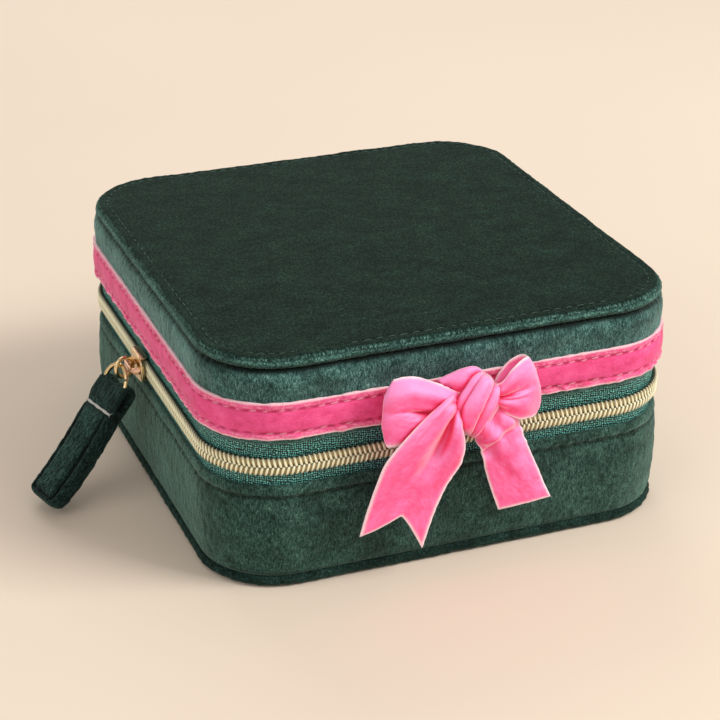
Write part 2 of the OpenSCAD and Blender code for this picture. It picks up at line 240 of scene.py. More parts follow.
# ------------------------------------------------------------------ meshes
def add_mesh(name, points, faces, uv=None, attrs=None, smooth_on=True):
    """points in millimetres; uv has one pair per face corner, attrs one value per point."""
    mesh = bpy.data.meshes.new(name)
    points = np.asarray(points, float).reshape(-1, 3) / 1000
    mesh.from_pydata(points.tolist(), [], [list(map(int, face)) for face in faces])
    if uv is not None:
        layer = mesh.uv_layers.new(name="UVMap")
        layer.data.foreach_set("uv", np.asarray(uv, np.float32).ravel())
    for key, values in (attrs or {}).items():
        attribute = mesh.attributes.new(key, "FLOAT", "POINT")
        attribute.data.foreach_set("value", np.asarray(values, np.float32).ravel())
    mesh.polygons.foreach_set("use_smooth", [smooth_on] * len(mesh.polygons))
    mesh.update()
    obj = bpy.data.objects.new(name, mesh)
    bpy.context.scene.collection.objects.link(obj)
    return obj


def grid_faces(rows, cols, close_rows=False, close_cols=False, flip=False):
    i, j = np.meshgrid(np.arange(rows if close_rows else rows - 1),
                       np.arange(cols if close_cols else cols - 1), indexing="ij")
    i_next, j_next = (i + 1) % rows, (j + 1) % cols
    faces = np.stack([i * cols + j, i_next * cols + j, i_next * cols + j_next,
                      i * cols + j_next], -1).reshape(-1, 4)
    return faces[:, ::-1] if flip else faces


def end_caps(rows, cols):
    return [list(range(cols))[::-1], list(range((rows - 1) * cols, rows * cols))]


def grid_uv(u, v, close_rows, close_cols, u_add, v_add):
    """Corner uvs of a grid; past a closing seam u_add or v_add is added."""
    if close_rows:
        u = np.concatenate([u, u[:1] + u_add], 0)
        v = np.concatenate([v, v[:1]], 0)
    if close_cols:
        u = np.concatenate([u, u[:, :1]], 1)
        v = np.concatenate([v, v[:, :1] + v_add], 1)
    pairs = np.stack([u, v], -1)
    return np.stack([pairs[:-1, :-1], pairs[1:, :-1], pairs[1:, 1:], pairs[:-1, 1:]],
                    2).reshape(-1, 2)


def corner_uv(u, v, faces):
    """Corner uvs from one u and one v per point."""
    return np.stack([u, v], -1).reshape(-1, 2)[np.concatenate(faces)]


def shell_faces(rows, cols, flip=False):
    """Faces of two grids of points, one behind the other, joined round the rim."""
    total = rows * cols
    rim = [i * cols for i in range(rows)]
    rim += [(rows - 1) * cols + j for j in range(1, cols)]
    rim += [i * cols + cols - 1 for i in range(rows - 2, -1, -1)]
    rim += list(range(cols - 2, 0, -1))
    sides = [[here, here + total, after + total, after]
             for here, after in zip(rim, rim[1:] + rim[:1])]
    if flip:
        sides = [side[:1] + side[:0:-1] for side in sides]
    return (list(grid_faces(rows, cols, flip=flip))
            + list(grid_faces(rows, cols, flip=not flip) + total) + sides)


def flipped(obj):
    obj.data.flip_normals()
    return obj


def faced(obj, index, direction):
    """Flips the faces if the one at index looks away from a direction."""
    if np.array(obj.data.polygons[index].normal) @ np.array(direction) < 0:
        obj.data.flip_normals()
    return obj


def sweep(name, profile, lengths, step, push, closed=False, span=None, line=CASE):
    """Sweeps a profile of (inset, z) along an outline.

    lengths is v at each profile point. push(along, across, z) gives an outward push in mm.
    closed joins the profile's ends; span is the (start, end) of a piece with end caps.
    """
    v_seam = 0.4    # added to v over a closed profile's seam
    if closed:
        profile, lengths = profile[:-1], lengths[:-1]
        tangent = np.roll(profile, -1, 0) - np.roll(profile, 1, 0)
    else:
        tangent = np.gradient(profile, axis=0)
    tangent /= np.maximum(np.linalg.norm(tangent, axis=1), 1e-9)[:, None]
    loop = span is None
    start, end = span or (0.0, line.length)
    rows = int(round((end - start) / step)) + (0 if loop else 1)
    runs = start + np.arange(rows) * ((end - start) / (rows if loop else rows - 1))
    points, outward = line.at(runs)
    along, across = np.meshgrid(runs, lengths, indexing="ij")
    height = push(along, across, np.broadcast_to(profile[:, 1], along.shape))
    # the surface normal is the profile's tangent, turned by a quarter
    out = -profile[:, 0] + tangent[:, 1] * height
    xy = points[:, None] + outward[:, None] * out[..., None]
    z = profile[:, 1] + tangent[:, 0] * height
    cols = len(lengths)
    faces = list(grid_faces(rows, cols, loop, closed))
    uv = grid_uv(along, across, loop, closed, line.length, lengths[-1] - lengths[0] + v_seam)
    if not loop:
        faces += end_caps(rows, cols)
        ends = [np.stack([np.full(cols, run), lengths], -1) for run in (runs[0], runs[-1])]
        uv = np.concatenate([uv, ends[0][::-1], ends[1]])
    return add_mesh(name, np.concatenate([xy, z[..., None]], -1), faces, uv)


def tube(centres, radius, sides=8, closed=False):
    """Points and faces of a tube; radius is a number or one per centre."""
    centres = np.asarray(centres, float)
    count = len(centres)
    if closed:
        tangent = np.roll(centres, -1, 0) - np.roll(centres, 1, 0)
    else:
        tangent = np.gradient(centres, axis=0)
    tangent /= np.maximum(np.linalg.norm(tangent, axis=1), 1e-12)[:, None]
    helper = np.array([0.0, 0, 1]) if abs(tangent[0][2]) < 0.9 else np.array([1.0, 0, 0])
    side = np.zeros_like(centres)
    current = np.cross(tangent[0], helper)
    current /= np.linalg.norm(current)
    for i in range(count):
        current = current - tangent[i] * (current @ tangent[i])
        current /= np.linalg.norm(current)
        side[i] = current
    other = np.cross(tangent, side)
    if closed:  # spread the twist so that the ends meet
        twist = math.atan2(float(side[0] @ other[-1]), float(side[0] @ side[-1]))
        turn = np.linspace(0, twist, count)[:, None]
        side, other = (side * np.cos(turn) + other * np.sin(turn),
                       -side * np.sin(turn) + other * np.cos(turn))
    radius = np.broadcast_to(np.asarray(radius, float), (count,))[:, None, None]
    angle = (np.arange(sides) / sides * 2 * math.pi)[None, :, None]
    points = centres[:, None] + radius * (np.cos(angle) * side[:, None]
                                          + np.sin(angle) * other[:, None])
    faces = list(grid_faces(count, sides, closed, True))
    if not closed:
        faces += end_caps(count, sides)
    return points.reshape(-1, 3), faces


def add_merged(name, parts):
    points, faces, start = [], [], 0
    for part_points, part_faces in parts:
        points.append(part_points)
        faces += [[i + start for i in face] for face in part_faces]
        start += len(part_points)
    return add_mesh(name, np.concatenate(points), faces)


def add_plug(name, points, u, v, attrs=None):
    """A capped solid from rings of points, (rings, round, xyz)."""
    rows, cols = points.shape[:2]
    faces = list(grid_faces(rows, cols, False, True)) + end_caps(rows, cols)
    return add_mesh(name, points, faces, corner_uv(u, v, faces), attrs)


def panel(name, inset, height, count, rings, line=CASE):
    """A sheet inside an outline, as rings that shrink to the middle.

    height(x, y, edge, along) gives z, where edge is the distance from the sheet's edge.
    """
    along = np.arange(count) / count * line.length
    points, outward = line.at(along)
    border = points - outward * inset
    flat = border[:, None] * rings[None, :, None]
    edge = np.linalg.norm(border, axis=1)[:, None] * (1 - rings[None])
    z = height(flat[..., 0], flat[..., 1], edge, np.broadcast_to(along[:, None], edge.shape))
    flat = np.concatenate([flat.reshape(-1, 2), [[0, 0]]])
    middle_z = height(np.zeros(1), np.zeros(1), np.full(1, 60.0), np.zeros(1))
    last = np.arange(count) * len(rings) + len(rings) - 1
    fan = [[last[i], last[(i + 1) % count], len(flat) - 1] for i in range(count)]
    faces = list(grid_faces(count, len(rings), True)) + fan
    points = np.column_stack([flat, np.r_[z.ravel(), middle_z]])
    return add_mesh(name, points, faces, corner_uv(flat[:, 0], flat[:, 1], faces))


def ring_scales(half, fine, reach, coarse):
    """Ring sizes for a panel: fine steps as far as reach from the edge, then coarse ones."""
    scales = 1 - np.r_[np.arange(0, reach, fine * pick(1)),
                       np.arange(reach, half - 2, coarse * pick(1))] / half
    return scales[scales > 0.02]


def put(obj, material, body, slot, *nodes):
    """Gives a piece its material and its moving body, and hides the nodes it replaces; slot is not
    used.
    """
    obj.data.materials.append(material)
    if body:
        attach(obj, body)
    if nodes:
        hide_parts(*nodes)


# ------------------------------------------------------------------ materials
class Shader:
    """A material around one Principled shader, with short calls that add nodes."""

    def __init__(self, name):
        self.material = bpy.data.materials.new(name)
        self.material.use_nodes = True
        self.tree = self.material.node_tree
        self.tree.nodes.clear()
        output = self.node("OutputMaterial")
        self.principled = self.node("BsdfPrincipled")
        self.feed(output.inputs[0], self.principled.outputs[0])

    def feed(self, socket, value):
        """Links a socket, or sets a number, vector or colour."""
        if isinstance(value, bpy.types.NodeSocket):
            self.tree.links.new(value, socket)
        else:
            socket.default_value = (*value, 1) if socket.type == "RGBA" else value

    def node(self, kind, inputs=None, **settings):
        new = self.tree.nodes.new("ShaderNode" + kind)
        for key, value in settings.items():
            setattr(new, key, value)
        for key, value in (inputs or {}).items():
            self.feed(new.inputs[key], value)
        return new

    def done(self, **inputs):
        """Feeds the Principled shader and returns the material."""
        for key, value in inputs.items():
            self.feed(self.principled.inputs[key.replace("_", " ")], value)
        return self.material

    def uv(self):
        return self.node("UVMap", uv_map="UVMap").outputs[0]

    def position(self):
        return self.node("TexCoord").outputs["Object"]

    def position_mm(self):
        return self.stretch(self.position(), (1000, 1000, 1000))

    def attribute(self, name):
        return self.node("Attribute", attribute_name=name).outputs["Fac"]

    def split(self, vector):
        return self.node("SeparateXYZ", {0: vector}).outputs

    def stretch(self, vector, scale):
        return self.node("Mapping", {"Vector": vector, "Scale": scale}).outputs[0]

    def noise(self, vector, stretch=None, scale=1.0, detail=2.0, rough=0.5, distort=0.0,
              output="Fac"):
        if stretch:
            vector = self.stretch(vector, stretch)
        return self.node("TexNoise", {
            "Scale": scale, "Detail": detail, "Roughness": rough, "Distortion": distort,
            "Vector": vector}).outputs[output]

    def ramp(self, factor, *stops):
        """A colour ramp; stops are (position, grey or colour)."""
        new = self.node("ValToRGB", {0: factor})
        elements = new.color_ramp.elements
        while len(elements) > 1:
            elements.remove(elements[-1])
        for i, (position, color) in enumerate(stops):
            element = elements[0] if i == 0 else elements.new(position)
            element.position = position
            color = color if isinstance(color, tuple) else (color, color, color)
            element.color = (*color, 1)
        return new.outputs[0]

    def math(self, operation, *values):
        return self.node("Math", dict(enumerate(values)), operation=operation).outputs[0]

    def add(self, a, b):
        return self.math("ADD", a, b)

    def minus(self, a, b):
        return self.math("SUBTRACT", a, b)

    def times(self, a, b):
        return self.math("MULTIPLY", a, b)

    def over(self, a, b):
        return self.math("DIVIDE", a, b)

    def swing(self, value, amount):
        """A 0 to 1 value, centred on zero and scaled."""
        return self.times(self.minus(value, 0.5), amount)

    def mix(self, factor, a, b, mode="MIX"):
        return self.node("Mix", {0: factor, 6: a, 7: b}, data_type="RGBA",
                         blend_type=mode).outputs[2]

    def multiply(self, a, b):
        return self.mix(1.0, a, b, "MULTIPLY")

    def bump(self, height, strength, distance):
        return self.node("Bump", {"Strength": strength, "Distance": distance,
                                  "Height": height}).outputs[0]

    def upness(self):
        """The z of the normal in the piece's own axes, so the look stays as it moves."""
        normal = self.node("NewGeometry").outputs["Normal"]
        own = self.node("VectorTransform", {0: normal}, vector_type="NORMAL",
                        convert_from="WORLD", convert_to="OBJECT")
        return self.split(own.outputs[0])[2]


def green_velvet(name, tones, tint, sheen, across, along, contrast=1.0, bump=0.6, patchy=1.0,
                 cap=None, painted_light_by_height=None, dimmed=False):
    """Short cut pile: dark between the fibres, pale at their tips, with crushed patches.

    tones and cap are (dark, mid, light); cap is for what faces straight up: a painted shade that
    darkens the flat top, while tones give a painted highlight where the velvet turns down.
    across and along are streak sizes in mm. painted_light_by_height is (z0, z1, stops), painted
    shade and painted highlights by height in mm. dimmed multiplies in a painted shade carried by
    the mesh.
    """
    mat = Shader(name)
    uv = mat.uv()
    streak = mat.noise(uv, (1 / across, 1 / along, 1 / along), detail=3, rough=0.6, distort=0.6)
    fine = mat.noise(uv, (2.9 / across, 2.6 / along, 2.6 / along), rough=0.6, distort=0.3)
    patch = mat.noise(uv, (0.10, 0.14, 0.14), detail=3, rough=0.55)
    crush = mat.noise(uv, (0.38, 0.34, 0.34), detail=3, rough=0.6, distort=0.8)
    pile = mat.add(mat.times(streak, 0.5), mat.times(fine, 0.5))
    pile = mat.add(pile, mat.swing(crush, 0.16 * patchy))

    def toned(dark, mid, light):
        between = tuple((a + b) / 2 for a, b in zip(mid, light))
        return mat.ramp(pile, (0.5 - 0.13 / contrast, dark), (0.49, mid),
                        (0.5 + 0.085 / contrast, between), (0.5 + 0.17 / contrast, light))

    color = toned(*tones)
    if cap is not None:
        # painted light by facing: what faces up takes the darker cap tones
        up_shade_mask = mat.ramp(mat.add(mat.upness(), mat.swing(fine, 0.4)),
                             (0.66, 0.0), (0.97, 1.0))
        color = mat.mix(up_shade_mask, color, toned(*cap))
    color = mat.multiply(color, mat.ramp(patch, (0.3, 1 - 0.40 * patchy), (0.5, 1.0),
                                         (0.7, 1 + 0.42 * patchy)))
    if painted_light_by_height is not None:
        # painted shade and painted highlights by height
        z0, z1, stops = painted_light_by_height
        z = mat.times(mat.split(mat.position())[2], 1000.0)
        level = mat.over(mat.minus(z, z0), z1 - z0)
        level = mat.add(level, mat.swing(streak, 0.35 / (z1 - z0)))
        color = mat.multiply(color, mat.ramp(level, *stops))
    if dimmed:
        # painted shade carried by the mesh
        color = mat.multiply(color, mat.attribute("dim"))
    return mat.done(Base_Color=color, Roughness=0.85, Sheen_Weight=sheen, Sheen_Roughness=0.42,
                    Sheen_Tint=tint, Specular_IOR_Level=0.1,
                    Normal=mat.bump(pile, bump, 0.00035))


BOW_LOOK = dict(
    edge=[(0.09, 1.0), (0.20, 0.75), (0.32, 0.20), (0.55, 0.0)],
    tones=[(0.32, (0.98, 0.080, 0.37)), (0.5, (1.0, 0.142, 0.51)), (0.68, (1.0, 0.215, 0.64))],
    tips=(1.0, 0.27, 0.58), selvedge=(0.97, 0.74, 0.81), rough=0.46, sheen=1.0, bump=0.20)
BAND_LOOK = dict(
    edge=[(0.04, 0.95), (0.13, 0.6), (0.24, 0.10), (0.42, 0.0)],
    tones=[(0.30, (0.70, 0.036, 0.165)), (0.52, (0.85, 0.070, 0.275)),
           (0.72, (0.94, 0.120, 0.36))],
    tips=(0.96, 0.27, 0.50), selvedge=(0.94, 0.68, 0.75), rough=0.55, sheen=0.55, bump=0.5)


def fold_light(mat, color, crush):
    """Painted light: paler where the ribbon faces up, a painted sheen where it turns away, and
    painted shade in its folds.
    """
    # painted highlight on what faces up, painted shade on what faces down
    lean = mat.add(mat.times(mat.upness(), 0.5), mat.swing(crush, 0.24))
    lit = mat.ramp(mat.add(lean, 0.5), (0.26, 0.0), (0.46, 0.42), (0.72, 1.0))
    color = mat.mix(lit, mat.multiply(color, (0.96, 0.20, 0.38)),
                    mat.mix(0.62, color, (1.0, 0.42, 0.76)))
    # painted sheen where the ribbon turns away from view
    facing = mat.node("LayerWeight", {"Blend": 0.4}).outputs["Facing"]
    color = mat.mix(mat.ramp(facing, (0.30, 0.0), (0.85, 0.80)), color, (1.0, 0.62, 0.74))
    # painted shade in the creases, from ambient occlusion
    open_air = mat.node("AmbientOcclusion", {"Distance": 0.0045}, samples=8).outputs["AO"]
    return mat.mix(mat.ramp(open_air, (0.35, 1.0), (0.80, 0.0)), color,
                   mat.multiply(color, (0.88, 0.12, 0.26)))


def sewn_lines(mat, color, uv, u, v, width):
    """Painted shade in the dents along both seams, deepest at each stitch, and painted highlights
    on the puckers beside them.
    """
    for seam, phase, puff_side in ((BAND_SEAM, 0.0, -0.75), (width - BAND_SEAM, 1.1, 0.75)):
        dash = mat.math("COSINE", mat.add(mat.times(u, TAU / BAND_PITCH), phase))
        near = mat.over(mat.math("ABSOLUTE", mat.minus(v, seam)), 2.0)
        dent_shade = mat.times(mat.ramp(near, (0.0, 1.0), (0.12, 0.75), (0.24, 0.0)),
                            mat.add(0.62, mat.times(dash, 0.38)))
        # painted shade in the seam's dents
        color = mat.mix(mat.times(dent_shade, 0.75), color, (0.42, 0.012, 0.075))
        near = mat.over(mat.math("ABSOLUTE", mat.minus(v, seam + puff_side)), 2.0)
        blotch = mat.noise(uv, (1.1, 1.4, 1), rough=0.6)
        pucker_highlight = mat.times(mat.ramp(near, (0.0, 1.0), (0.30, 0.0)),
                         mat.ramp(blotch, (0.42, 0.0), (0.62, 0.75)))
        # painted highlight on the puckers
        color = mat.mix(pucker_highlight, color, (0.97, 0.38, 0.56))
    return color


def pink_ribbon(name, look, width=None):
    """Pink pile with a pale woven selvedge; u runs along the ribbon and v across it, in mm.

    width is that of the sewn band. Without it, as on the bow, the mesh gives the distance
    from the edge.
    """
    mat = Shader(name)
    uv = mat.uv()
    if width is None:
        distance = mat.attribute("edge")
    else:
        u, v, _ = mat.split(uv)
        off_middle = mat.math("ABSOLUTE", mat.minus(v, width / 2 + 0.08))
        distance = mat.minus(width / 2, off_middle)
    wobble = mat.noise(uv, (2.6, 2.6, 1), detail=3, rough=0.7)
    distance = mat.add(distance, mat.swing(wobble, 0.7))
    edge = mat.ramp(mat.over(distance, 2.2), *look["edge"])
    pile = mat.noise(uv, (2.2, 3.4, 1), detail=4, rough=0.65)
    crush = mat.noise(uv, (0.22, 0.35, 1), detail=3, rough=0.6)
    color = mat.ramp(crush, *look["tones"])
    if width is None:
        color = fold_light(mat, color, crush)
    color = mat.mix(mat.times(mat.ramp(pile, (0.42, 0.0), (0.72, 1.0)), 0.3),
                    color, look["tips"])
    if width is not None:
        color = sewn_lines(mat, color, uv, u, v, width)
    color = mat.mix(edge, color, look["selvedge"])
    if width is None:
        # a painted glow: the bow's colour made to glow a little, which lifts it in shade
        mat.done(Emission_Color=color, Emission_Strength=0.09)
    height = mat.add(mat.times(pile, 0.5), mat.times(crush, 0.8))
    return mat.done(Base_Color=color, Roughness=look["rough"], Sheen_Weight=look["sheen"],
                    Sheen_Roughness=0.3, Sheen_Tint=(1.0, 0.55, 0.68), Specular_IOR_Level=0.25,
                    Normal=mat.bump(height, look["bump"], 0.0004))


def thread(name, color):
    """Twisted thread, with painted shade between the strands."""
    mat = Shader(name)
    twist = mat.node("TexWave", {"Scale": 1.6, "Distortion": 0.4, "Vector": mat.position_mm()},
                     wave_type="BANDS", bands_direction="DIAGONAL").outputs["Fac"]
    return mat.done(Base_Color=mat.mix(twist, tuple(x * 0.62 for x in color), color),
                    Roughness=0.55, Sheen_Weight=0.25,
                    Sheen_Tint=tuple(min(1.0, 3 * x) for x in color),
                    Normal=mat.bump(twist, 0.5, 0.0001))


def woven_tape():
    """Teal herringbone: two crossing diagonals, broken by fine noise."""
    mat = Shader("zip_tape_teal")
    uv = mat.uv()
    jitter = mat.node("VectorMath", {0: mat.noise(uv, scale=0.9, output="Color"), "Scale": 1.1},
                      operation="SCALE").outputs[0]
    u, v, _ = mat.split(mat.node("VectorMath", {0: uv, 1: jitter}, operation="ADD").outputs[0])
    rising = mat.math("SINE", mat.times(mat.add(u, mat.times(v, 0.9)), 6.3))
    falling = mat.math("SINE", mat.times(mat.minus(u, mat.times(v, 1.1)), 5.1))
    weave = mat.add(mat.times(mat.times(rising, falling), 0.5), 0.5)
    fleck = mat.noise(uv, (1.7, 2.6, 1), detail=3, rough=0.7)
    weave = mat.add(mat.times(weave, 0.4), mat.times(fleck, 0.6))
    color = mat.ramp(weave, (0.40, (0.0008, 0.0085, 0.0090)), (0.50, (0.0030, 0.040, 0.038)),
                     (0.57, (0.016, 0.200, 0.180)), (0.66, (0.22, 0.72, 0.64)))
    return mat.done(Base_Color=color, Roughness=0.5, Sheen_Weight=0.08, Sheen_Roughness=0.4,
                    Sheen_Tint=(0.3, 0.8, 0.75), Normal=mat.bump(weave, 0.9, 0.00022))


def gold(name, color, rough, dirty, metallic=1.0, gap_shade=None):
    """Worn metal; deep is the painted shade (deepest, half way) on wire sunk between its
    neighbours.
    """
    mat = Shader(name)
    position = mat.position_mm()
    wear = mat.noise(position, scale=0.9, detail=4, rough=0.6)
    grain = mat.noise(position, scale=6.0)
    shade = mat.mix(mat.ramp(wear, (0.35, 0.0), (0.7, 1.0)),
                    tuple(x * (1 - dirty) for x in color), color)
    if gap_shade is not None:
        # painted shade on wire that lies further in
        depth = mat.ramp(mat.attribute("out"), (0.05, gap_shade[0]), (0.60, gap_shade[1]), (0.86, 1.0))
        shade = mat.multiply(shade, depth)
    return mat.done(Base_Color=shade, Metallic=metallic,
                    Roughness=mat.add(rough - 0.06, mat.times(grain, 0.16)),
                    Normal=mat.bump(grain, 0.08, 0.00004))


def plain_fabric(name, light, dark, scale=2.2, rough=0.9, sheen=0.5, bump=0.3):
    mat = Shader(name)
    position = mat.position_mm()
    grain = mat.noise(position, scale=scale, detail=4, rough=0.65)
    broad = mat.noise(position, scale=0.12)
    color = mat.mix(mat.ramp(grain, (0.35, 0.0), (0.65, 1.0)), dark, light)
    color = mat.multiply(color, mat.ramp(broad, (0.3, 0.86), (0.7, 1.1)))
    return mat.done(Base_Color=color, Roughness=rough, Sheen_Weight=sheen, Sheen_Roughness=0.5,
                    Sheen_Tint=(1, 0.95, 0.93), Normal=mat.bump(grain, bump, 0.0002))


def mirror_silver():
    mat = Shader("mirror_silver")
    position = mat.position_mm()
    color = mat.mix(mat.noise(position, scale=0.05), (0.86, 0.89, 0.89), (0.90, 0.92, 0.91))
    haze = mat.times(mat.noise(position, scale=0.4, detail=3), 0.02)
    return mat.done(Base_Color=color, Metallic=1.0, Roughness=mat.add(0.015, haze))


GREEN_TINT = (0.34, 0.56, 0.49)
# painted light by facing: the first tones, darker, for what faces up; the second, lighter, for
# where the velvet turns down
UP_SHADED_TONES = ((0.0007, 0.0036, 0.0026), (0.0032, 0.0112, 0.0084), (0.0260, 0.0640, 0.0480))
SIDE_LIT_TONES = ((0.0030, 0.0100, 0.0086), (0.0150, 0.0480, 0.0415), (0.150, 0.310, 0.280))
_seam = (STITCH_Z - BOTTOM_Z) / (RIM_Z - BOTTOM_Z)

WALL_VELVET = green_velvet(
    "velvet_green_wall",
    tones=((0.0032, 0.0106, 0.0090), (0.0150, 0.0450, 0.0370), (0.092, 0.196, 0.170)),
    tint=GREEN_TINT, sheen=0.85, across=0.40, along=1.15, patchy=1.15,
    # painted shade at the foot and along the seam, painted highlights above the seam and below the
    # rim
    painted_light_by_height=(BOTTOM_Z, RIM_Z, [
        (0.0, 0.06), (0.018, 0.35), (0.05, 1.0), (_seam - 0.035, 1.0), (_seam - 0.006, 0.42),
        (_seam + 0.008, 0.42), (_seam + 0.035, 1.08), (0.97, 1.12), (1.0, 1.0)]))
LID_VELVET = green_velvet(
    "velvet_green_lid_wall",
    tones=((0.0042, 0.0145, 0.0134), (0.0240, 0.0740, 0.0680), (0.160, 0.330, 0.310)),
    tint=(0.40, 0.66, 0.63), sheen=1.0, across=0.40, along=1.15, patchy=1.3,
    # painted shade under the rolled edge, with a little painted highlight below that
    painted_light_by_height=(WALL_TOP - 3.0, WALL_TOP, [
        (0.0, 1.0), (0.45, 1.15), (0.66, 0.75), (0.80, 0.16), (0.92, 0.03), (1.0, 0.02)]))
# the top: painted shade on the flat, a painted highlight where it rolls over the edge
TOP_VELVET = green_velvet(
    "velvet_green_top", tones=SIDE_LIT_TONES, tint=(0.14, 0.30, 0.23), sheen=0.12,
    across=0.46, along=1.0, contrast=1.1, bump=0.8, patchy=0.8, cap=UP_SHADED_TONES)
RIM_VELVET = green_velvet(
    "velvet_green_rim", tones=SIDE_LIT_TONES, tint=GREEN_TINT, sheen=0.55,
    across=0.36, along=0.8, cap=UP_SHADED_TONES,
    # painted shade in the crease under the roll and a painted highlight on its outer edge
    painted_light_by_height=(WELT_LOW[2] - 0.2, WELT_HIGH[2] + 0.2, [
        (0.0, 0.01), (0.14, 0.03), (0.30, 0.55), (0.50, 1.6), (0.72, 1.35), (1.0, 1.1)]))
# darker tones than the walls: painted shade on the piping at the foot of the case
WELT_VELVET_SHADED = green_velvet(
    "velvet_green_welt_shaded",
    tones=((0.0012, 0.0044, 0.0038), (0.0060, 0.0190, 0.0158), (0.040, 0.100, 0.085)),
    tint=(0.2, 0.36, 0.31), sheen=0.3, across=0.45, along=0.8)
TAB_VELVET = green_velvet(
    "velvet_green_tab",
    tones=((0.0014, 0.0052, 0.0048), (0.0050, 0.0180, 0.0162), (0.060, 0.140, 0.126)),
    tint=(0.22, 0.38, 0.34), sheen=0.5, across=0.36, along=1.3, dimmed=True)
BAND_PINK = pink_ribbon("ribbon_velvet_band", BAND_LOOK, BAND_H)
BOW_PINK = pink_ribbon("ribbon_velvet_bow", BOW_LOOK)
PINK_THREAD = thread("thread_pink", (0.95, 0.40, 0.55))
GREEN_THREAD = thread("thread_green", (0.0075, 0.024, 0.020))
MID_THREAD = thread("thread_mid_green", (0.030, 0.075, 0.064))
WHITE_THREAD = thread("thread_white", (0.70, 0.73, 0.70))
TAPE = woven_tape()
# painted shade between the coil's wires
COIL = gold("coil_pale_gold", (1.0, 1.0, 0.74), rough=0.34, dirty=0.05, metallic=0.28,
            gap_shade=(0.10, 0.50))
CORD = gold("coil_core_cord", (0.42, 0.33, 0.15), rough=0.7, dirty=0.3, metallic=0.4)
GOLD = gold("metal_gold", (0.93, 0.72, 0.40), rough=0.16, dirty=0.15)
ROSE_GOLD = gold("metal_rose_gold", (0.86, 0.58, 0.42), rough=0.22, dirty=0.15)
LINING = plain_fabric("lining_suede", (0.62, 0.36, 0.36), (0.48, 0.26, 0.27))
ROLL = plain_fabric("roll_velvet", (0.66, 0.38, 0.39), (0.50, 0.27, 0.29),
                    scale=1.6, rough=0.85, sheen=0.9, bump=0.4)
DIVIDER = plain_fabric("divider_velvet", (0.60, 0.33, 0.34), (0.46, 0.24, 0.26),
                       scale=1.8, rough=0.85, sheen=0.9, bump=0.4)
BOARD = plain_fabric("greyboard", (0.36, 0.32, 0.26), (0.25, 0.22, 0.18),
                     scale=1.2, rough=0.95, sheen=0.0, bump=0.2)
FOAM = plain_fabric("foam_white", (0.72, 0.70, 0.62), (0.60, 0.58, 0.50),
                    scale=3.0, rough=0.95, sheen=0.1, bump=0.5)
MIRROR = mirror_silver()


# ------------------------------------------------------------------ velvet walls
WALL_STEP, WALL_STEP_Z = pick(0.40), pick(0.36)


def plush(along, across, seed, fibre=0.5, grain=1.3):
    """Height of a short combed pile; fibre and grain are its cell sizes in mm."""
    fine, coarse, broad = (int(round(PERIM / cell)) for cell in (fibre, fibre * 2.1, 7.0))
    warp = 0.6 * round_noise(along, coarse, across / 3.0, seed + 9)
    return (0.10 * noise(along / PERIM * fine + warp, across / grain, seed, fine)
            + 0.08 * round_noise(along, coarse, across / (grain * 1.9), seed + 1)
            + 0.10 * round_noise(along, broad, across / 6.0, seed + 2))


def rim_seam(along, z):
    """A sewn groove, deepest at each stitch end, with a swell on either side."""
    depth, half = 0.34, 0.42
    wobble = 0.12 * noise(along / 5.0, 0 * along, 5)
    groove = bell(z - STITCH_Z - wobble, 0, half) * (0.72 + 0.28 * ripple(along, STITCH_PITCH))
    swell = 0.35 * bell(np.abs(z - STITCH_Z), 2.1 * half, 1.2 * half)
    return depth * swell * (0.6 + 0.4 * ripple(along, STITCH_PITCH, math.pi)) - depth * groove


def base_wall_push(along, across, z):
    pile = plush(along, across, 11) * smooth(BOTTOM_Z, BOTTOM_Z + 0.8, z)
    return pile * (1 - 0.7 * smooth(RIM_Z - 0.4, RIM_Z, z)) + rim_seam(along, z)


def lid_wall_push(along, across, z):
    """Flattened under the ribbon band, full pile above it."""
    pile = plush(along, across, 23) * (0.35 + 0.65 * smooth(BAND_Z1 - 0.4, BAND_Z1 + 0.6, z))
    under = (1 - smooth(BAND_Z1 - 0.6, BAND_Z1 + 0.3, z)) * smooth(BAND_Z0 - 0.2, BAND_Z0 + 0.3, z)
    return pile * smooth(LID_Z, LID_Z + 0.5, z) - 0.12 * under


# profiles of (inset, z), from the bottom up
BASE_WALL = [
    (1.35, BOTTOM_Z - 0.1), (0.75, BOTTOM_Z - 0.15), (0.28, BOTTOM_Z + 0.45),
    (-0.05, BOTTOM_Z + 2.0), (-0.52, BOTTOM_Z + 7), (-0.72, BOTTOM_Z + 12),
    (-0.42, STITCH_Z - 2), (0.0, STITCH_Z), (-0.15, STITCH_Z + 1.4), (0.04, RIM_Z - 0.7),
    (0.3, RIM_Z - 0.12), (0.62, RIM_Z + 0.02), (0.9, RIM_Z - 0.2), (0.96, RIM_Z - 1.6)]
LID_WALL = [
    (0.96, LID_Z + 1.6), (0.9, LID_Z + 0.2), (0.6, LID_Z - 0.02), (0.25, LID_Z + 0.12),
    (0.06, LID_Z + 0.8), (0.0, LID_Z + 2), (0.0, BAND_Z1 - 2), (-0.08, BAND_Z1 + 1.5),
    (-0.34, BAND_Z1 + 4), (-0.22, WALL_TOP - 2.0), (0.3, WALL_TOP - 0.9),
    (1.0, WALL_TOP - 0.35), (1.5, WALL_TOP + 0.15), (1.8, WALL_TOP + 0.6)]
put(sweep("base_velvet_wall_plush", *resample(round_poly(BASE_WALL, 1.0), WALL_STEP_Z),
          WALL_STEP, base_wall_push), WALL_VELVET, "base", "green_velvet", "base_velvet_wall")
put(sweep("lid_velvet_wall_plush", *resample(round_poly(LID_WALL, 1.0), WALL_STEP_Z),
          WALL_STEP, lid_wall_push), LID_VELVET, "lid", "green_velvet", "lid_velvet_wall")


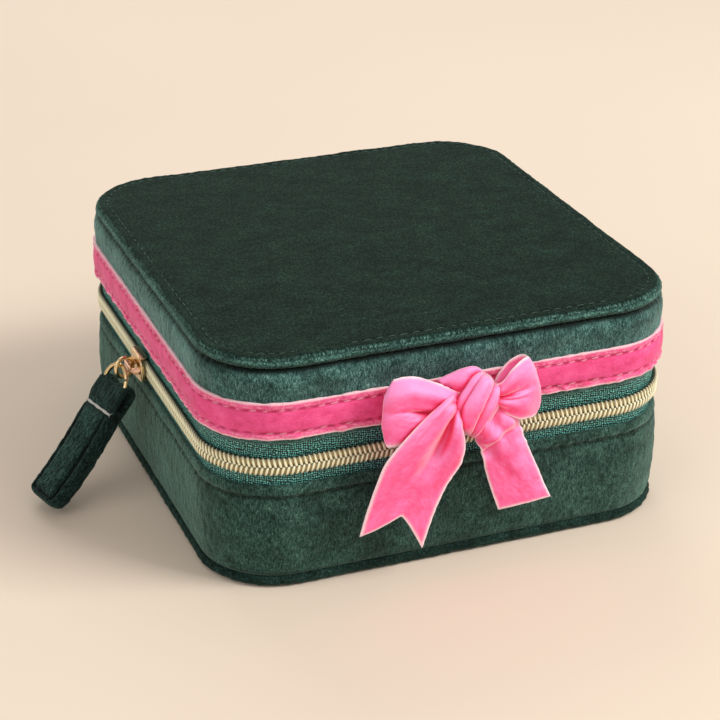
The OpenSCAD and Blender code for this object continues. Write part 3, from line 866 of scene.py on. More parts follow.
# ------------------------------------------------------------------ piping and rolled edge
def base_piping():
    low, high = box_mm("base_welt")
    radius, count = (high[2] - low[2]) / 2, 26
    profile = oval(HALF_W - high[0] + radius, (low[2] + high[2]) / 2, radius, radius, count)

    def push(along, across, z):
        return 0.7 * plush(along, across, 31, grain=0.7) + 0.05 * np.sin(along * 1.9)

    piping = sweep("base_welt_piping", profile, np.arange(count + 1) * (TAU * radius / count),
                   WALL_STEP, push, closed=True)
    put(piping, WELT_VELVET_SHADED, "base", "green_velvet", "base_welt")


def lid_rolled_edge():
    radius, count = (WELT_HIGH[2] - WELT_LOW[2]) / 2, 40
    half_in = radius + 0.48
    bottom, top = WELT_LOW[2] - 0.04, PANEL_TOP - 0.42
    profile = oval(0.22 + half_in, (bottom + top) / 2, half_in, (top - bottom) / 2, count, 0.86)

    def push(along, across, z):
        return (0.95 * plush(along, across, 41, fibre=0.42, grain=0.9)
                + 0.05 * round_noise(along, 90, across / 3.0, 44))

    edge = sweep("lid_rolled_edge", profile,
                 np.arange(count + 1) * (TAU * (radius + 0.3) / count),
                 pick(0.3), push, closed=True)
    put(edge, RIM_VELVET, "lid", "green_velvet", "lid_welt")


base_piping()
lid_rolled_edge()

# ------------------------------------------------------------------ top and bottom panels
TOP_INSET = 0.62
SHOULDER = 1.4      # width of the rounded edge of the top


def top_height(x, y, edge, along):
    crown = 0.42 * (1 - (x / HALF_W) ** 2) * (1 - (y / HALF_D) ** 2)
    pile = (0.040 * noise(x / 0.8, y / 1.5, 61) + 0.035 * noise(x / 1.6, y / 2.6, 62)
            + 0.07 * noise(x / 9, y / 7, 63) + 0.05 * noise(x / 22, y / 16, 64))
    groove = -0.20 * bell(edge, TOP_SEAM_IN - TOP_INSET, 0.5)
    groove = groove * (0.7 + 0.3 * ripple(along, TOP_PITCH))
    turn = np.clip((SHOULDER - edge) / SHOULDER, 0, 1)
    drop = -1.25 * (1 - np.sqrt(np.clip(1 - turn ** 2, 0, 1)))
    return (PANEL_TOP + 0.04 + crown + pile * (1 + 1.2 * (1 - smooth(2.5, 5.5, edge)))
            + groove + drop)


def bottom_height(x, y, edge, along):
    return (0.02 + 0.9 * (1 - smooth(0, 0.8, edge))
            + 0.06 * (noise(x / 1.5, y / 1.5, 71) + 1))


put(panel("lid_velvet_top_panel", TOP_INSET, top_height, pick(800),
          ring_scales(56.0, fine=0.26, reach=7, coarse=0.5)),
    TOP_VELVET, "lid", "green_velvet", "lid_velvet_top")
put(flipped(panel("base_velvet_bottom_panel", HALF_W - box_mm("base_velvet_bottom")[1][0],
                  bottom_height, 400, ring_scales(57.0, fine=0.4, reach=4, coarse=2.0))),
    TOP_VELVET, "base", "green_velvet", "base_velvet_bottom")


# ------------------------------------------------------------------ ribbon band
def band_push(along, across, z):
    """Dents at the stitches, puckers along both edges and a soft pillow between."""
    up = z - BAND_Z0
    low_pull = 0.35 + 0.65 * (0.5 + 0.5 * ripple(along, BAND_PITCH))
    top_pull = 0.35 + 0.65 * (0.5 + 0.5 * ripple(along, BAND_PITCH, 1.1))
    dent = (-0.46 * bell(up, BAND_SEAM, 0.38) * low_pull
            - 0.32 * bell(up, BAND_H - BAND_SEAM, 0.38) * top_pull)
    low_cells, top_cells = int(round(PERIM / 1.5)), int(round(PERIM / 1.7))
    low_pucker = round_noise(along + 0.9 * up, low_cells, up / 4.5, 81) * bell(up, 1.0, 1.0)
    top_pucker = (0.8 * round_noise(along - 0.6 * up, top_cells, up / 4.5, 82)
                  * bell(up, BAND_H - 1.0, 1.0))
    inside = np.clip((up - BAND_SEAM) / (BAND_H - 2 * BAND_SEAM), 0, 1)
    waves = (0.08 * round_noise(along, 77, up / 3.0, 83)
             + 0.04 * round_noise(along, 580, up / 1.1, 84))
    height = dent + 0.40 * (low_pucker + top_pucker) + 0.25 * np.sin(inside * math.pi) + waves
    return np.maximum(height, -0.62)


def ribbon_band():
    inner, outer, radius = -0.06, -BAND_OUT + 0.02, 0.22
    profile = [(inner, BAND_Z0 + 0.02), (outer + radius * 0.4, BAND_Z0), (outer, BAND_Z0 + radius),
               (outer, BAND_Z1 - radius), (outer + radius * 0.4, BAND_Z1), (inner, BAND_Z1 - 0.02)]
    profile, _ = resample(round_poly(profile, radius), pick(0.26))
    band = sweep("ribbon_band_velvet", profile, profile[:, 1] - BAND_Z0, pick(0.38),
                 band_push)
    put(band, BAND_PINK, "lid", "pink_ribbon", "ribbon_band")


def stitches(name, z, inset, pitch, length, radius, seed, jitter=0.15, tilt=0.0, on_top=False,
             phase=0.0):
    """A row of stitches round the case, on its wall or on_top of the lid."""
    count = int(round(PERIM / pitch))
    t = np.linspace(-0.5, 0.5, 7)
    lift = 0.9 * radius * np.cos(t * math.pi) - 0.35 * radius
    parts = []
    for k in range(count):
        points, outward = CASE.at((k + 0.5) * PERIM / count + phase + t * length)
        stray = z + jitter * (cell_hash(k, 3, seed) - 0.5) + tilt * t
        if on_top:
            out, height = inset + (stray - z), z + lift
        else:
            out, height = inset - lift, stray
        centres = np.column_stack([points - outward * out[:, None], height])
        parts.append(tube(centres, radius * (1 - 0.35 * np.abs(2 * t) ** 3), 6))
    return add_merged(name, parts)


ribbon_band()
put(stitches("ribbon_stitches_lower", z=BAND_Z0 + BAND_SEAM, inset=-BAND_OUT + 0.34,
             pitch=BAND_PITCH, length=1.7, radius=0.15, seed=2, tilt=0.35),
    PINK_THREAD, "lid", "pink_thread", "ribbon_stitching_lower")
put(stitches("ribbon_stitches_upper", z=BAND_Z1 - BAND_SEAM, inset=-BAND_OUT + 0.22,
             pitch=BAND_PITCH, length=1.6, radius=0.14, seed=3, tilt=0.2, phase=-0.53),
    PINK_THREAD, "lid", "pink_thread", "ribbon_stitching_upper")
put(stitches("base_rim_stitches", z=STITCH_Z, inset=0.14, pitch=STITCH_PITCH, length=2.2,
             radius=0.13, seed=4), GREEN_THREAD, "base", "green_thread", "base_rim_stitching")
put(stitches("lid_top_stitches", z=PANEL_TOP - 0.02, inset=TOP_SEAM_IN, pitch=TOP_PITCH,
             length=1.6, radius=0.12, seed=5, jitter=0.1, on_top=True),
    MID_THREAD, "lid", "green_thread", "lid_top_stitching")

# ------------------------------------------------------------------ zip
ZIP_START, ZIP_END = HINGE_W / 2 + 0.5, PERIM - HINGE_W / 2 - 0.5
TAPE_THICK = 0.48
COIL_PITCH = 1.17
COIL_MID = COIL_IN + 0.80       # inset of the coils' centre line


def zip_tape(body, z0, z1, seed):
    inner = TAPE_IN + TAPE_THICK
    profile, lengths = resample([(TAPE_IN, z0), (TAPE_IN, z1), (inner, z1), (inner, z0),
                                 (TAPE_IN, z0)], 0.27)

    def push(along, across, z):
        return (0.05 * noise(along / 1.1, z / 0.55, seed)
                + 0.03 * np.sin(along * 5.2 + 2.6 * z))

    put(sweep(body + "_zip_tape_woven", profile, lengths, 0.55, push, closed=True,
              span=(ZIP_START, ZIP_END)), TAPE, body, "zip_tape", body + "_zip_tape")


def coil(body, side):
    """A flattened coil of filament round a cord; side is 1 above the split and -1 below.

    Its legs slant, so that the two halves make a herringbone.
    """
    turns = int((ZIP_END - ZIP_START - 1.5) / COIL_PITCH)
    per_turn, sides = pick(16), 8
    turn = np.arange(turns * per_turn + 1) / per_turn
    cosine, sine = np.cos(TAU * turn), np.sin(TAU * turn)
    half = (COIL_Z1 - COIL_Z0) / 4 - 0.20
    centre_z = SPLIT_Z + side * (half + 0.13)
    z = centre_z + side * half * blunt(cosine, 0.8)
    depth = 0.36 * blunt(sine, 0.8)
    from_split = (z - SPLIT_Z) * side / (2 * half)
    head = bell(from_split, 0.05, 0.2)
    slant = np.clip(sine * 3, -1, 1) * (0.5 - from_split) * 0.12
    along = ZIP_START + 0.8 + turn * COIL_PITCH + (0 if side > 0 else COIL_PITCH / 2) + slant
    points, outward = CASE.at(along)
    out = -(COIL_MID - depth - 0.05 * head + 0.10 * (from_split > 0.8))
    centres = np.column_stack([points + outward * out[:, None], z])
    wire, faces = tube(centres, 0.315 + 0.045 * head, sides)
    offset = wire.reshape(-1, sides, 3)[:, :, :2] - points[:, None]
    out = (offset * outward[:, None]).sum(-1) + COIL_MID
    # out: how far out each point lies, which the material turns into painted shade further in
    put(add_mesh(body + "_zip_coil_teeth", wire, faces, None,
                 {"out": np.clip((out + 0.05) / 0.70, 0, 1)}),
        COIL, body, "gold_coil", body + "_zip_coil")

    points, outward = CASE.at(np.arange(ZIP_START + 0.4, ZIP_END - 0.4, 1.2))
    centres = np.column_stack([points - outward * (COIL_MID + 0.02),
                               np.full(len(points), centre_z)])
    radius = 0.42
    cord, faces = tube(centres, radius)
    # the cord is a flat oval inside the coil
    cord[:, 2] = centre_z + (cord[:, 2] - centre_z) * (half / radius) * 0.92
    put(add_mesh(body + "_zip_coil_cord", cord, faces), CORD, body, "gold_coil")


zip_tape("base", box_mm("base_zip_tape")[0][2], SPLIT_Z - 0.12, 91)
zip_tape("lid", SPLIT_Z + 0.12, box_mm("lid_zip_tape")[1][2], 95)
coil("base", -1)
coil("lid", 1)


# ------------------------------------------------------------------ bow
def catmull(stations, count):
    """count points along axis 0 of the stations, through every station."""
    stations = np.asarray(stations, float)
    last = len(stations) - 1
    t = np.linspace(0, last, count)
    i = np.clip(np.floor(t).astype(int), 0, last - 1)
    t = (t - i).reshape((-1,) + (1,) * (stations.ndim - 1))
    padded = np.concatenate([2 * stations[:1] - stations[1:2], stations,
                             2 * stations[-1:] - stations[-2:-1]])
    a, b, c, d = padded[i], padded[i + 1], padded[i + 2], padded[i + 3]
    return 0.5 * (2 * b + (c - a) * t + (2 * a - 5 * b + 4 * c - d) * t ** 2
                  + (3 * b - a - 3 * c + d) * t ** 3)


def relax(points, times):
    """Smooths a grid of points a little; its ends move only across and its corners stay."""
    for _ in range(times):
        rows = points.copy()
        rows[1:-1] = 0.5 * points[1:-1] + 0.25 * (points[:-2] + points[2:])
        points = rows.copy()
        points[:, 1:-1] = 0.5 * rows[:, 1:-1] + 0.25 * (rows[:, :-2] + rows[:, 2:])
    return points


def surface_normals(points):
    normal = np.cross(np.gradient(points, axis=0), np.gradient(points, axis=1))
    return normal / np.maximum(np.linalg.norm(normal, axis=-1), 1e-9)[..., None]


BOW_ORIGIN = np.array([3.2, -60.75, 41.5])
RIBBON_THICK = 0.5


def from_bow(points):
    """From the bow's own axes (right, up, out to the front) to the case's directions."""
    return points[..., [0, 2, 1]] * np.array([1, -1, 1])


def ribbon_sheet(name, stations, folds, seed, node, width=16, step=0.3, cut=False, trim=None,
                 smoothing=2):
    """A ribbon through a grid of stations (along, across, xyz), in the bow's own axes.

    folds(u, v) is a height in mm for u and v from 0 to 1. cut gives the end a raw edge;
    trim(v) is the share of the length that is kept.
    """
    step *= pick(1)
    length = np.linalg.norm(np.diff(stations.mean(1), axis=0), axis=1).sum()
    widest = max(np.linalg.norm(np.diff(row, axis=0), axis=1).sum() for row in stations)
    rows, cols = int(length / step) + 2, int(widest / step) + 2
    dense = catmull(stations, 3 * rows)
    dense = np.swapaxes(catmull(np.swapaxes(dense, 0, 1), cols), 0, 1)
    if trim is not None:
        kept = trim(np.linspace(0, 1, cols))
        source = np.linspace(0, 1, len(dense))
        points = np.zeros((rows, cols, 3))
        for j in range(cols):
            at = np.linspace(0, 1, rows) * kept[j]
            for k in range(3):
                points[:, j, k] = np.interp(at, source, dense[:, j, k])
    else:
        at = np.linspace(0, len(dense) - 1, rows)
        i = np.clip(at.astype(int), 0, len(dense) - 2)
        part = (at - i)[:, None, None]
        points = dense[i] * (1 - part) + dense[i + 1] * part
    points = relax(points, smoothing)
    lengths = np.linalg.norm(np.diff(points.mean(1), axis=0), axis=1)
    lengths = np.concatenate([[0], np.cumsum(lengths)])
    u, v = np.meshgrid(lengths, np.linspace(0, width, cols), indexing="ij")
    height = (0.045 * noise(u / 0.75, v / 0.6, seed) + 0.05 * noise(u / 2.6, v / 2.0, seed + 1)
              + 0.18 * noise(u / 7.0, v / 5.0, seed + 2)
              + folds(u / max(lengths[-1], 1e-6), v / width))
    # the edges ripple a little where the weave pulls
    edge = np.minimum(v, width - v)
    height = height + np.exp(-edge / 0.6) * 0.16 * noise(u / 0.9, v * 0, seed + 5)
    points = points + surface_normals(points) * height[..., None]
    normals = surface_normals(points)
    if cut:
        edge = np.minimum(edge, (lengths[-1] - u) * (1.0 if trim is None else trim(v / width)))
    half = (RIBBON_THICK * (0.55 + 0.45 * smooth(0, 0.6, edge)) / 2)[..., None]
    sheets = np.array([points + normals * half, points - normals * half])
    faces = shell_faces(rows, cols)
    sheet = add_mesh(name, from_bow(sheets) + BOW_ORIGIN, faces,
                     corner_uv(np.array([u, u]), np.array([v, v]), faces),
                     {"edge": np.array([edge, edge])})
    middle = (rows - 1) * (cols - 1) // 2
    normal = normals.reshape(-1, 3)[faces[middle][0]]
    put(faced(sheet, middle, from_bow(normal)), BOW_PINK, "lid", "pink_ribbon", node)


def stations(across, text):
    """A table with one station along the ribbon per line: right, up and out for each point."""
    return np.array(text.split(), float).reshape(-1, across, 3)


LOOP_LEFT = stations(5, """
-6.5 2.9 3.4  -7.1 2.1 5.0  -6.8 -0.1 3.8  -7.0 -1.2 5.0  -6.1 -4.1 3.6
-10.0 5.4 3.8  -11.0 3.9 6.4  -10.5 0.1 4.4  -11.3 -0.5 6.3  -10.1 -3.9 5.0
-14.6 8.2 3.8  -15.6 6.2 6.9  -15.5 1.3 5.5  -16.6 -0.5 6.9  -15.6 -4.9 6.0
-19.2 9.7 4.1  -20.3 7.3 6.9  -20.8 2.9 6.7  -20.9 -0.4 7.1  -20.3 -5.8 6.4
-21.8 9.4 3.8  -23.7 6.6 5.6  -24.2 2.6 5.8  -24.5 -1.0 5.9  -23.8 -6.2 5.7
-21.3 8.9 3.2  -23.8 6.0 3.9  -24.5 2.1 4.1  -24.7 -1.6 4.2  -24.1 -5.9 4.2
-19.7 7.6 1.7  -19.8 4.8 1.9  -19.9 0.9 2.2  -20.0 -3.0 2.5  -20.1 -6.9 2.7
-16.3 6.6 0.9  -16.4 4.1 1.1  -16.5 0.2 1.4  -16.6 -3.6 1.6  -16.7 -7.5 1.9
-12.0 5.0 0.9  -12.1 2.9 1.1  -12.2 -0.5 1.4  -12.3 -3.8 1.6  -12.4 -7.2 1.9
-7.2 3.0 1.2  -7.3 1.0 1.4  -7.4 -1.0 1.7  -7.5 -3.0 1.9  -7.6 -5.0 2.2
""")
LOOP_RIGHT = stations(5, """
1.1 3.9 4.0  1.1 3.1 5.0  1.8 1.3 4.2  1.9 0.4 5.0  3.1 -1.9 3.8
3.3 5.1 5.4  3.1 3.6 6.4  4.1 1.3 5.5  3.8 0.0 6.4  4.4 -2.9 5.2
5.4 8.1 5.8  5.7 5.7 7.1  6.9 2.2 6.3  7.1 -0.6 6.8  7.6 -4.8 5.6
8.1 9.8 5.2  9.3 7.1 6.1  10.3 2.9 6.0  10.4 -0.9 6.0  10.6 -5.4 5.0
10.0 9.6 3.8  12.0 6.3 4.2  13.4 1.8 4.2  13.8 -2.1 4.1  12.9 -5.4 3.8
9.2 9.2 1.9  10.0 5.6 2.1  10.8 1.9 2.4  11.6 -1.7 2.6  12.4 -5.3 2.9
7.0 7.8 1.0  7.9 4.4 1.2  8.8 1.0 1.5  9.7 -2.3 1.8  10.6 -5.7 2.0
4.9 5.3 0.9  5.7 2.4 1.1  6.4 -0.5 1.4  7.2 -3.3 1.6  7.9 -6.2 1.9
3.4 2.7 1.2  3.8 0.8 1.4  4.2 -1.0 1.7  4.5 -2.9 1.9  4.9 -4.8 2.2
""")
LOOP_BACK = stations(4, """
-10.5 5.7 0.9  -10.4 5.9 1.8  -9.9 4.8 2.4  -8.3 2.5 2.2
-7.4 6.9 0.9  -7.5 7.3 2.2  -7.4 5.7 3.2  -6.3 2.5 3.0
-4.3 7.7 0.9  -4.8 8.3 2.6  -5.1 6.2 3.6  -4.7 2.4 3.4
-1.8 7.8 0.9  -2.5 8.4 2.7  -2.9 6.0 3.4  -3.0 2.6 3.4
0.2 6.6 0.9  -0.5 6.9 2.4  -1.2 5.1 3.0  -1.5 2.2 3.2
1.5 4.1 0.9  1.1 4.1 1.8  0.6 3.2 2.4  -0.0 1.5 2.8
""")
TAIL_LEFT = stations(6, """
-8.8 3.5 4.8  -8.6 3.0 5.6  -7.9 1.8 5.2  -7.2 0.5 4.8  -7.2 0.1 5.8  -6.2 -1.4 4.8
-12.1 3.3 7.4  -11.7 2.9 8.7  -10.5 1.4 8.0  -8.9 -0.6 6.6  -8.7 -0.9 8.2  -7.2 -2.7 7.0
-16.9 -0.0 7.8  -15.5 -0.4 9.1  -13.1 -2.0 8.5  -10.2 -4.2 6.6  -9.2 -4.1 8.9  -6.7 -5.8 8.0
-21.5 -4.6 7.4  -19.0 -4.9 8.6  -15.9 -6.0 8.5  -11.9 -8.3 6.2  -9.6 -8.3 8.0  -6.3 -9.7 7.4
-25.1 -9.5 6.6  -22.0 -9.8 7.6  -18.6 -10.4 7.9  -14.4 -12.2 6.4  -11.0 -12.7 6.9  -7.2 -13.8 6.5
-27.1 -15.4 5.8  -24.0 -15.5 6.6  -20.7 -15.9 7.0  -16.9 -17.0 6.3  -13.3 -17.8 6.0  -9.6 -18.6 5.7
-28.7 -21.6 5.0  -25.6 -21.9 5.5  -22.4 -22.1 6.0  -18.9 -22.9 5.7  -15.3 -23.9 5.1  -11.8 -24.6 4.8
-30.2 -28.4 4.3  -27.2 -29.5 4.5  -24.3 -30.6 4.8  -21.2 -31.9 4.8  -18.0 -33.4 4.4  -14.7 -34.9 4.1
""")
TAIL_RIGHT = stations(6, """
-1.6 -3.4 2.4  -0.6 -2.2 3.6  0.8 -1.6 4.2  2.6 -1.2 4.2  4.6 -1.6 3.6  6.4 -2.4 2.6
-2.2 -6.6 3.4  -1.0 -5.6 6.0  1.4 -4.9 5.2  3.6 -4.2 6.0  6.0 -4.4 5.0  8.3 -5.4 3.4
-1.9 -9.4 3.2  -0.5 -9.2 4.6  1.9 -7.9 6.4  4.2 -7.6 4.9  7.0 -7.6 5.2  9.7 -8.4 3.6
-0.5 -12.2 3.2  1.7 -12.0 3.3  3.1 -10.9 5.0  5.5 -11.1 4.6  7.8 -11.0 4.6  10.6 -11.6 3.4
1.0 -18.0 3.0  3.4 -18.0 3.5  5.9 -18.1 3.9  8.2 -18.0 4.5  11.2 -18.7 3.9  14.3 -19.5 3.1
2.8 -23.7 2.8  5.3 -23.5 3.3  7.8 -23.5 3.5  10.5 -23.5 3.6  13.3 -23.8 3.4  16.3 -24.3 2.8
5.0 -29.6 2.4  7.5 -29.3 2.7  10.1 -29.0 2.9  12.8 -28.8 2.9  15.6 -28.7 2.7  18.4 -28.7 2.5
""")
KNOT = stations(5, """
0.3 5.7 1.2  0.8 5.9 2.2  1.7 5.1 2.4  2.9 3.7 2.2  4.1 1.8 1.2
-2.6 6.2 3.8  -2.2 7.1 6.0  -0.5 6.1 6.6  1.7 3.8 5.8  3.5 1.1 3.8
-5.1 4.2 4.6  -4.7 4.6 7.0  -2.9 3.5 8.0  0.2 1.3 7.2  3.1 -0.9 4.8
-6.9 1.1 4.6  -6.8 1.2 7.0  -5.1 -0.0 8.2  -2.0 -2.2 7.4  0.9 -4.4 5.0
-7.0 -2.8 3.8  -7.0 -2.7 6.0  -5.7 -3.7 7.0  -3.4 -5.5 6.4  -0.9 -7.5 4.2
-5.0 -6.4 1.2  -4.8 -6.7 2.4  -3.9 -7.5 2.8  -2.5 -8.7 2.4  -0.7 -10.1 1.2
""")


def gather(u, v, creases, height, reach, seed):
    """Creases that fan out from u = 0 and fade over reach."""
    wave = np.sin(TAU * creases * v + 1.6 * noise(u * 5, v * 3, seed))
    return height * bell(u, 0, reach) * wave * (0.7 + 0.3 * noise(u * 6, v * 6, seed + 1))


def loop_folds(creases, height, reach, seed, crease_at, depth):
    """Gathers at both ends, and one long crease in the front strand."""
    def folds(u, v):
        line = crease_at + 0.10 * (u - 0.1)
        crease = 0.7 * bell(v, line - 0.075, 0.05) - bell(v, line, 0.035)
        return (gather(u, v, creases, height, reach, seed)
                + gather(1 - u, v, creases, height, reach, seed)
                + depth * bell(u, 0.17, 0.15) * crease)
    return folds


def back_folds(u, v):
    return 0.35 * np.sin(9 * u + 2 * v) * smooth(0.2, 0.8, v)


def knot_folds(u, v):
    across = v + 0.03 * np.sin(5 * u)
    # ridges and valleys across the knot: height, place, width
    waves = ((0.85, 0.13, 0.07), (-0.95, 0.245, 0.035), (0.75, 0.47, 0.16),
             (-1.05, 0.69, 0.035), (0.75, 0.79, 0.05), (-0.5, 0.87, 0.03))
    height = sum(rise * bell(across, place, width) for rise, place, width in waves)
    return height * np.sin(np.clip(u, 0, 1) * math.pi) ** 0.5


def left_tail_folds(u, v):
    valley = bell(v, 0.60, 0.10) * smooth(0.05, 0.2, u) * (1 - smooth(0.35, 0.75, u))
    ridge = bell(v, 0.78, 0.09) * (1 - smooth(0.2, 0.6, u))
    return gather(u, v, 2.3, 0.55, 0.3, 7) - 0.85 * valley + 0.5 * ridge


def right_tail_folds(u, v):
    """A slanting buckle across the tail: ridge, valley, ridge."""
    return (gather(u, v, 2.0, 0.5, 0.28, 9)
            - 0.62 * bell(u + 0.22 * v, 0.41, 0.045) * (1 - 0.4 * v)
            + 0.55 * bell(u + 0.22 * v, 0.33, 0.055) + 0.30 * bell(u + 0.12 * v, 0.49, 0.06))


def notch(v):
    """The V cut into the left tail's end, deepest at its point."""
    point = 0.52
    side = np.where(v < point, point, 0.48)
    return 1 - 0.115 * (1 - np.clip(np.abs(v - point) / side, 0, 1))


ribbon_sheet("bow_loop_left_velvet", LOOP_LEFT,
             loop_folds(creases=3.0, height=0.60, reach=0.19, seed=3, crease_at=0.50, depth=1.25),
             seed=101, node="bow_loop_left")
ribbon_sheet("bow_loop_right_velvet", LOOP_RIGHT,
             loop_folds(creases=2.6, height=0.55, reach=0.17, seed=5, crease_at=0.55, depth=0.7),
             seed=111, node="bow_loop_right")
ribbon_sheet("bow_loop_back_velvet", LOOP_BACK, back_folds, seed=121, node="bow_loop_back",
             width=9)
ribbon_sheet("bow_knot_velvet", KNOT, knot_folds, seed=131, node="bow_knot", step=0.24,
             smoothing=1)
ribbon_sheet("bow_tail_left_velvet", TAIL_LEFT, left_tail_folds, seed=141,
             node="bow_tail_left", cut=True, trim=notch)
ribbon_sheet("bow_tail_right_velvet", TAIL_RIGHT, right_tail_folds, seed=151,
             node="bow_tail_right", cut=True)


# ------------------------------------------------------------------ slider
def extruded(name, outline, start, end, bevel, axes, segments=3):
    """A polygon pushed along an axis, with rounded edges; axes are those of (u, v, push)."""
    work = bmesh.new()

    def ring(push):
        verts = []
        for u, v in outline:
            place = [0.0, 0.0, 0.0]
            for axis, value in zip(axes, (u, v, push)):
                place[axis] = value / 1000
            verts.append(work.verts.new(place))
        return verts

    near, far = ring(start), ring(end)
    work.faces.new(near)
    work.faces.new(far[::-1])
    for i in range(len(near)):
        after = (i + 1) % len(near)
        work.faces.new([near[i], far[i], far[after], near[after]])
    bmesh.ops.recalc_face_normals(work, faces=work.faces)
    sharp = [edge for edge in work.edges
             if not all(len(face.verts) == 4 for face in edge.link_faces)
             or abs(edge.calc_face_angle(0)) > 0.7]
    bmesh.ops.bevel(work, geom=sharp, offset=bevel / 1000, offset_type="OFFSET",
                    segments=segments, profile=0.5, affect="EDGES", clamp_overlap=True)
    bmesh.ops.recalc_face_normals(work, faces=work.faces)
    mesh = bpy.data.meshes.new(name)
    work.to_mesh(mesh)
    work.free()
    mesh.polygons.foreach_set("use_smooth", [True] * len(mesh.polygons))
    obj = bpy.data.objects.new(name, mesh)
    bpy.context.scene.collection.objects.link(obj)
    mesh.set_sharp_from_angle(angle=math.radians(40))
    return obj


def plate(name, corners, radii, steps, x0, x1, bevel, material, *nodes, segments=3):
    """A slider part, from corners of (y, z)."""
    part = extruded(name, round_polygon(corners, radii, steps), x0, x1, bevel, (1, 2, 0),
                    segments)
    put(part, material, "slider", "gold_metal", *nodes)


def rectangle(y0, y1, z0, z1):
    return [(y0, z0), (y1, z0), (y1, z1), (y0, z1)]


_low, _high = box_mm("slider_body")
(X0, Y0, Z0), (X1, Y1, Z1) = _low, _high
SLIDER_Z = (Z0 + Z1) / 2
# the face plate is broad at the back shoulder and narrower at the front nose
plate("slider_face_plate",
      [(Y0, Z0 + 1.1), (Y0 + 2.4, Z0 + 0.35), (Y1 - 2.6, Z0), (Y1, Z0 + 0.3),
       (Y1, Z1 - 0.3), (Y1 - 2.6, Z1), (Y0 + 2.4, Z1 - 0.35), (Y0, Z1 - 1.1)],
      [1.2, 1.5, 1.5, 1.0, 1.0, 1.5, 1.5, 1.2], 5, X0, X0 + 0.85, 0.26, GOLD, "slider_body")
plate("slider_back_plate",
      [(Y0 + 0.3, Z0 + 0.9), (Y1 - 0.2, Z0 + 0.3), (Y1 - 0.2, Z1 - 0.3), (Y0 + 0.3, Z1 - 0.9)],
      1.2, 5, X1 - 0.7, X1, 0.2, GOLD)
plate("slider_post", rectangle(Y0 + 1.5, Y1 - 1.5, SLIDER_Z - 0.17, SLIDER_Z + 0.17),
      0.1, 2, X0 + 0.5, X1 - 0.2, 0.04, GOLD, segments=2)
plate("slider_lower_lip", rectangle(Y0 + 1.7, Y1 - 0.5, Z0 + 0.12, Z0 + 0.82),
      0.3, 3, X0 + 0.3, X0 + 2.0, 0.16, GOLD)
plate("slider_upper_lip", rectangle(Y0 + 1.7, Y1 - 0.5, Z1 - 0.92, Z1 + 0.05),
      0.3, 3, X0 + 0.3, X0 + 2.1, 0.16, ROSE_GOLD)

_low, _high = box_mm("slider_bridge")
(X0, Y0, Z0), (X1, Y1, Z1) = _low, _high
# (x, y) round the outside of the arch, then back along its inside
BRIDGE = [
    (X1 + 0.1, Y0 - 0.5), (X1 - 0.35, Y0 - 0.1), (X0 + 0.5, Y0 - 0.02), (X0, Y0 + 0.8),
    (X0, Y1 - 0.8), (X0 + 0.5, Y1 + 0.02), (X1 - 0.35, Y1 + 0.1), (X1 + 0.1, Y1 + 0.5),
    (X1 + 0.1, Y1 - 1.0), (X0 + 0.95, Y1 - 1.0), (X0 + 0.76, Y1 - 1.25),
    (X0 + 0.76, Y0 + 1.25), (X0 + 0.95, Y0 + 1.0), (X1 + 0.1, Y0 + 1.0)]
put(extruded("slider_bridge_arch", BRIDGE, Z0, Z1, 0.22, (0, 1, 2)),
    ROSE_GOLD, "slider", "gold_metal", "slider_bridge")

# ------------------------------------------------------------------ link and ring of the pull
PULL_YAW = math.radians(15)
PULL_OUT = np.array([-math.cos(PULL_YAW), -math.sin(PULL_YAW), 0.0])
PULL_SIDE = np.array([math.sin(PULL_YAW), -math.cos(PULL_YAW), 0.0])
PULL_UP = np.array([0.0, 0.0, 1.0])
PULL_ORIGIN = np.array([X0 + 0.75 + 0.8, (Y0 + Y1) / 2, SLIDER_Z])
LINK_R, LINK_WIRE, LINK_X, LINK_Z = 2.4, 0.5, 2.366, 0.4
RING_R, RING_WIRE = 4.6, 0.55
RING_TILT = math.radians(25)
RING_TOP = np.array([3.286, 0, 1.17])
RING_GAP = 0.045                    # half the angle of the gap in the ring
RING_GAP_AT = math.radians(118)


def from_pull(points):
    """From the hanging pull's own axes (out, forwards, up) to the case's."""
    points = np.asarray(points, float)
    return (PULL_ORIGIN + points[..., :1] * PULL_OUT + points[..., 1:2] * PULL_SIDE
            + points[..., 2:3] * PULL_UP)


def pull_link():
    angle = np.linspace(0, TAU, 72, endpoint=False)
    narrow = 1 - 0.05 * np.cos(2 * angle)
    centres = np.stack([LINK_X + LINK_R * np.cos(angle) * narrow, 0 * angle,
                        LINK_Z + LINK_R * np.sin(angle) * 1.04], -1)
    wire = LINK_WIRE + 0.05 * np.maximum(0, np.cos(angle))
    link = add_mesh("pull_link_wire", *tube(from_pull(centres), wire, 14, closed=True))
    put(link, GOLD, "pull_link", "gold_metal", "pull_link")


def pull_ring():
    down = np.array([math.sin(RING_TILT), 0, -math.cos(RING_TILT)])
    angle = np.linspace(RING_GAP, 2 * math.pi - RING_GAP, 120) + RING_GAP_AT
    centres = RING_TOP + RING_R * down + RING_R * (
        np.cos(angle)[:, None] * down + np.sin(angle)[:, None] * np.array([0.0, 1, 0]))
    put(add_mesh("pull_ring_wire", *tube(from_pull(centres), RING_WIRE, 16)),
        GOLD, "pull_ring", "gold_metal", "pull_ring")


pull_link()
pull_ring()

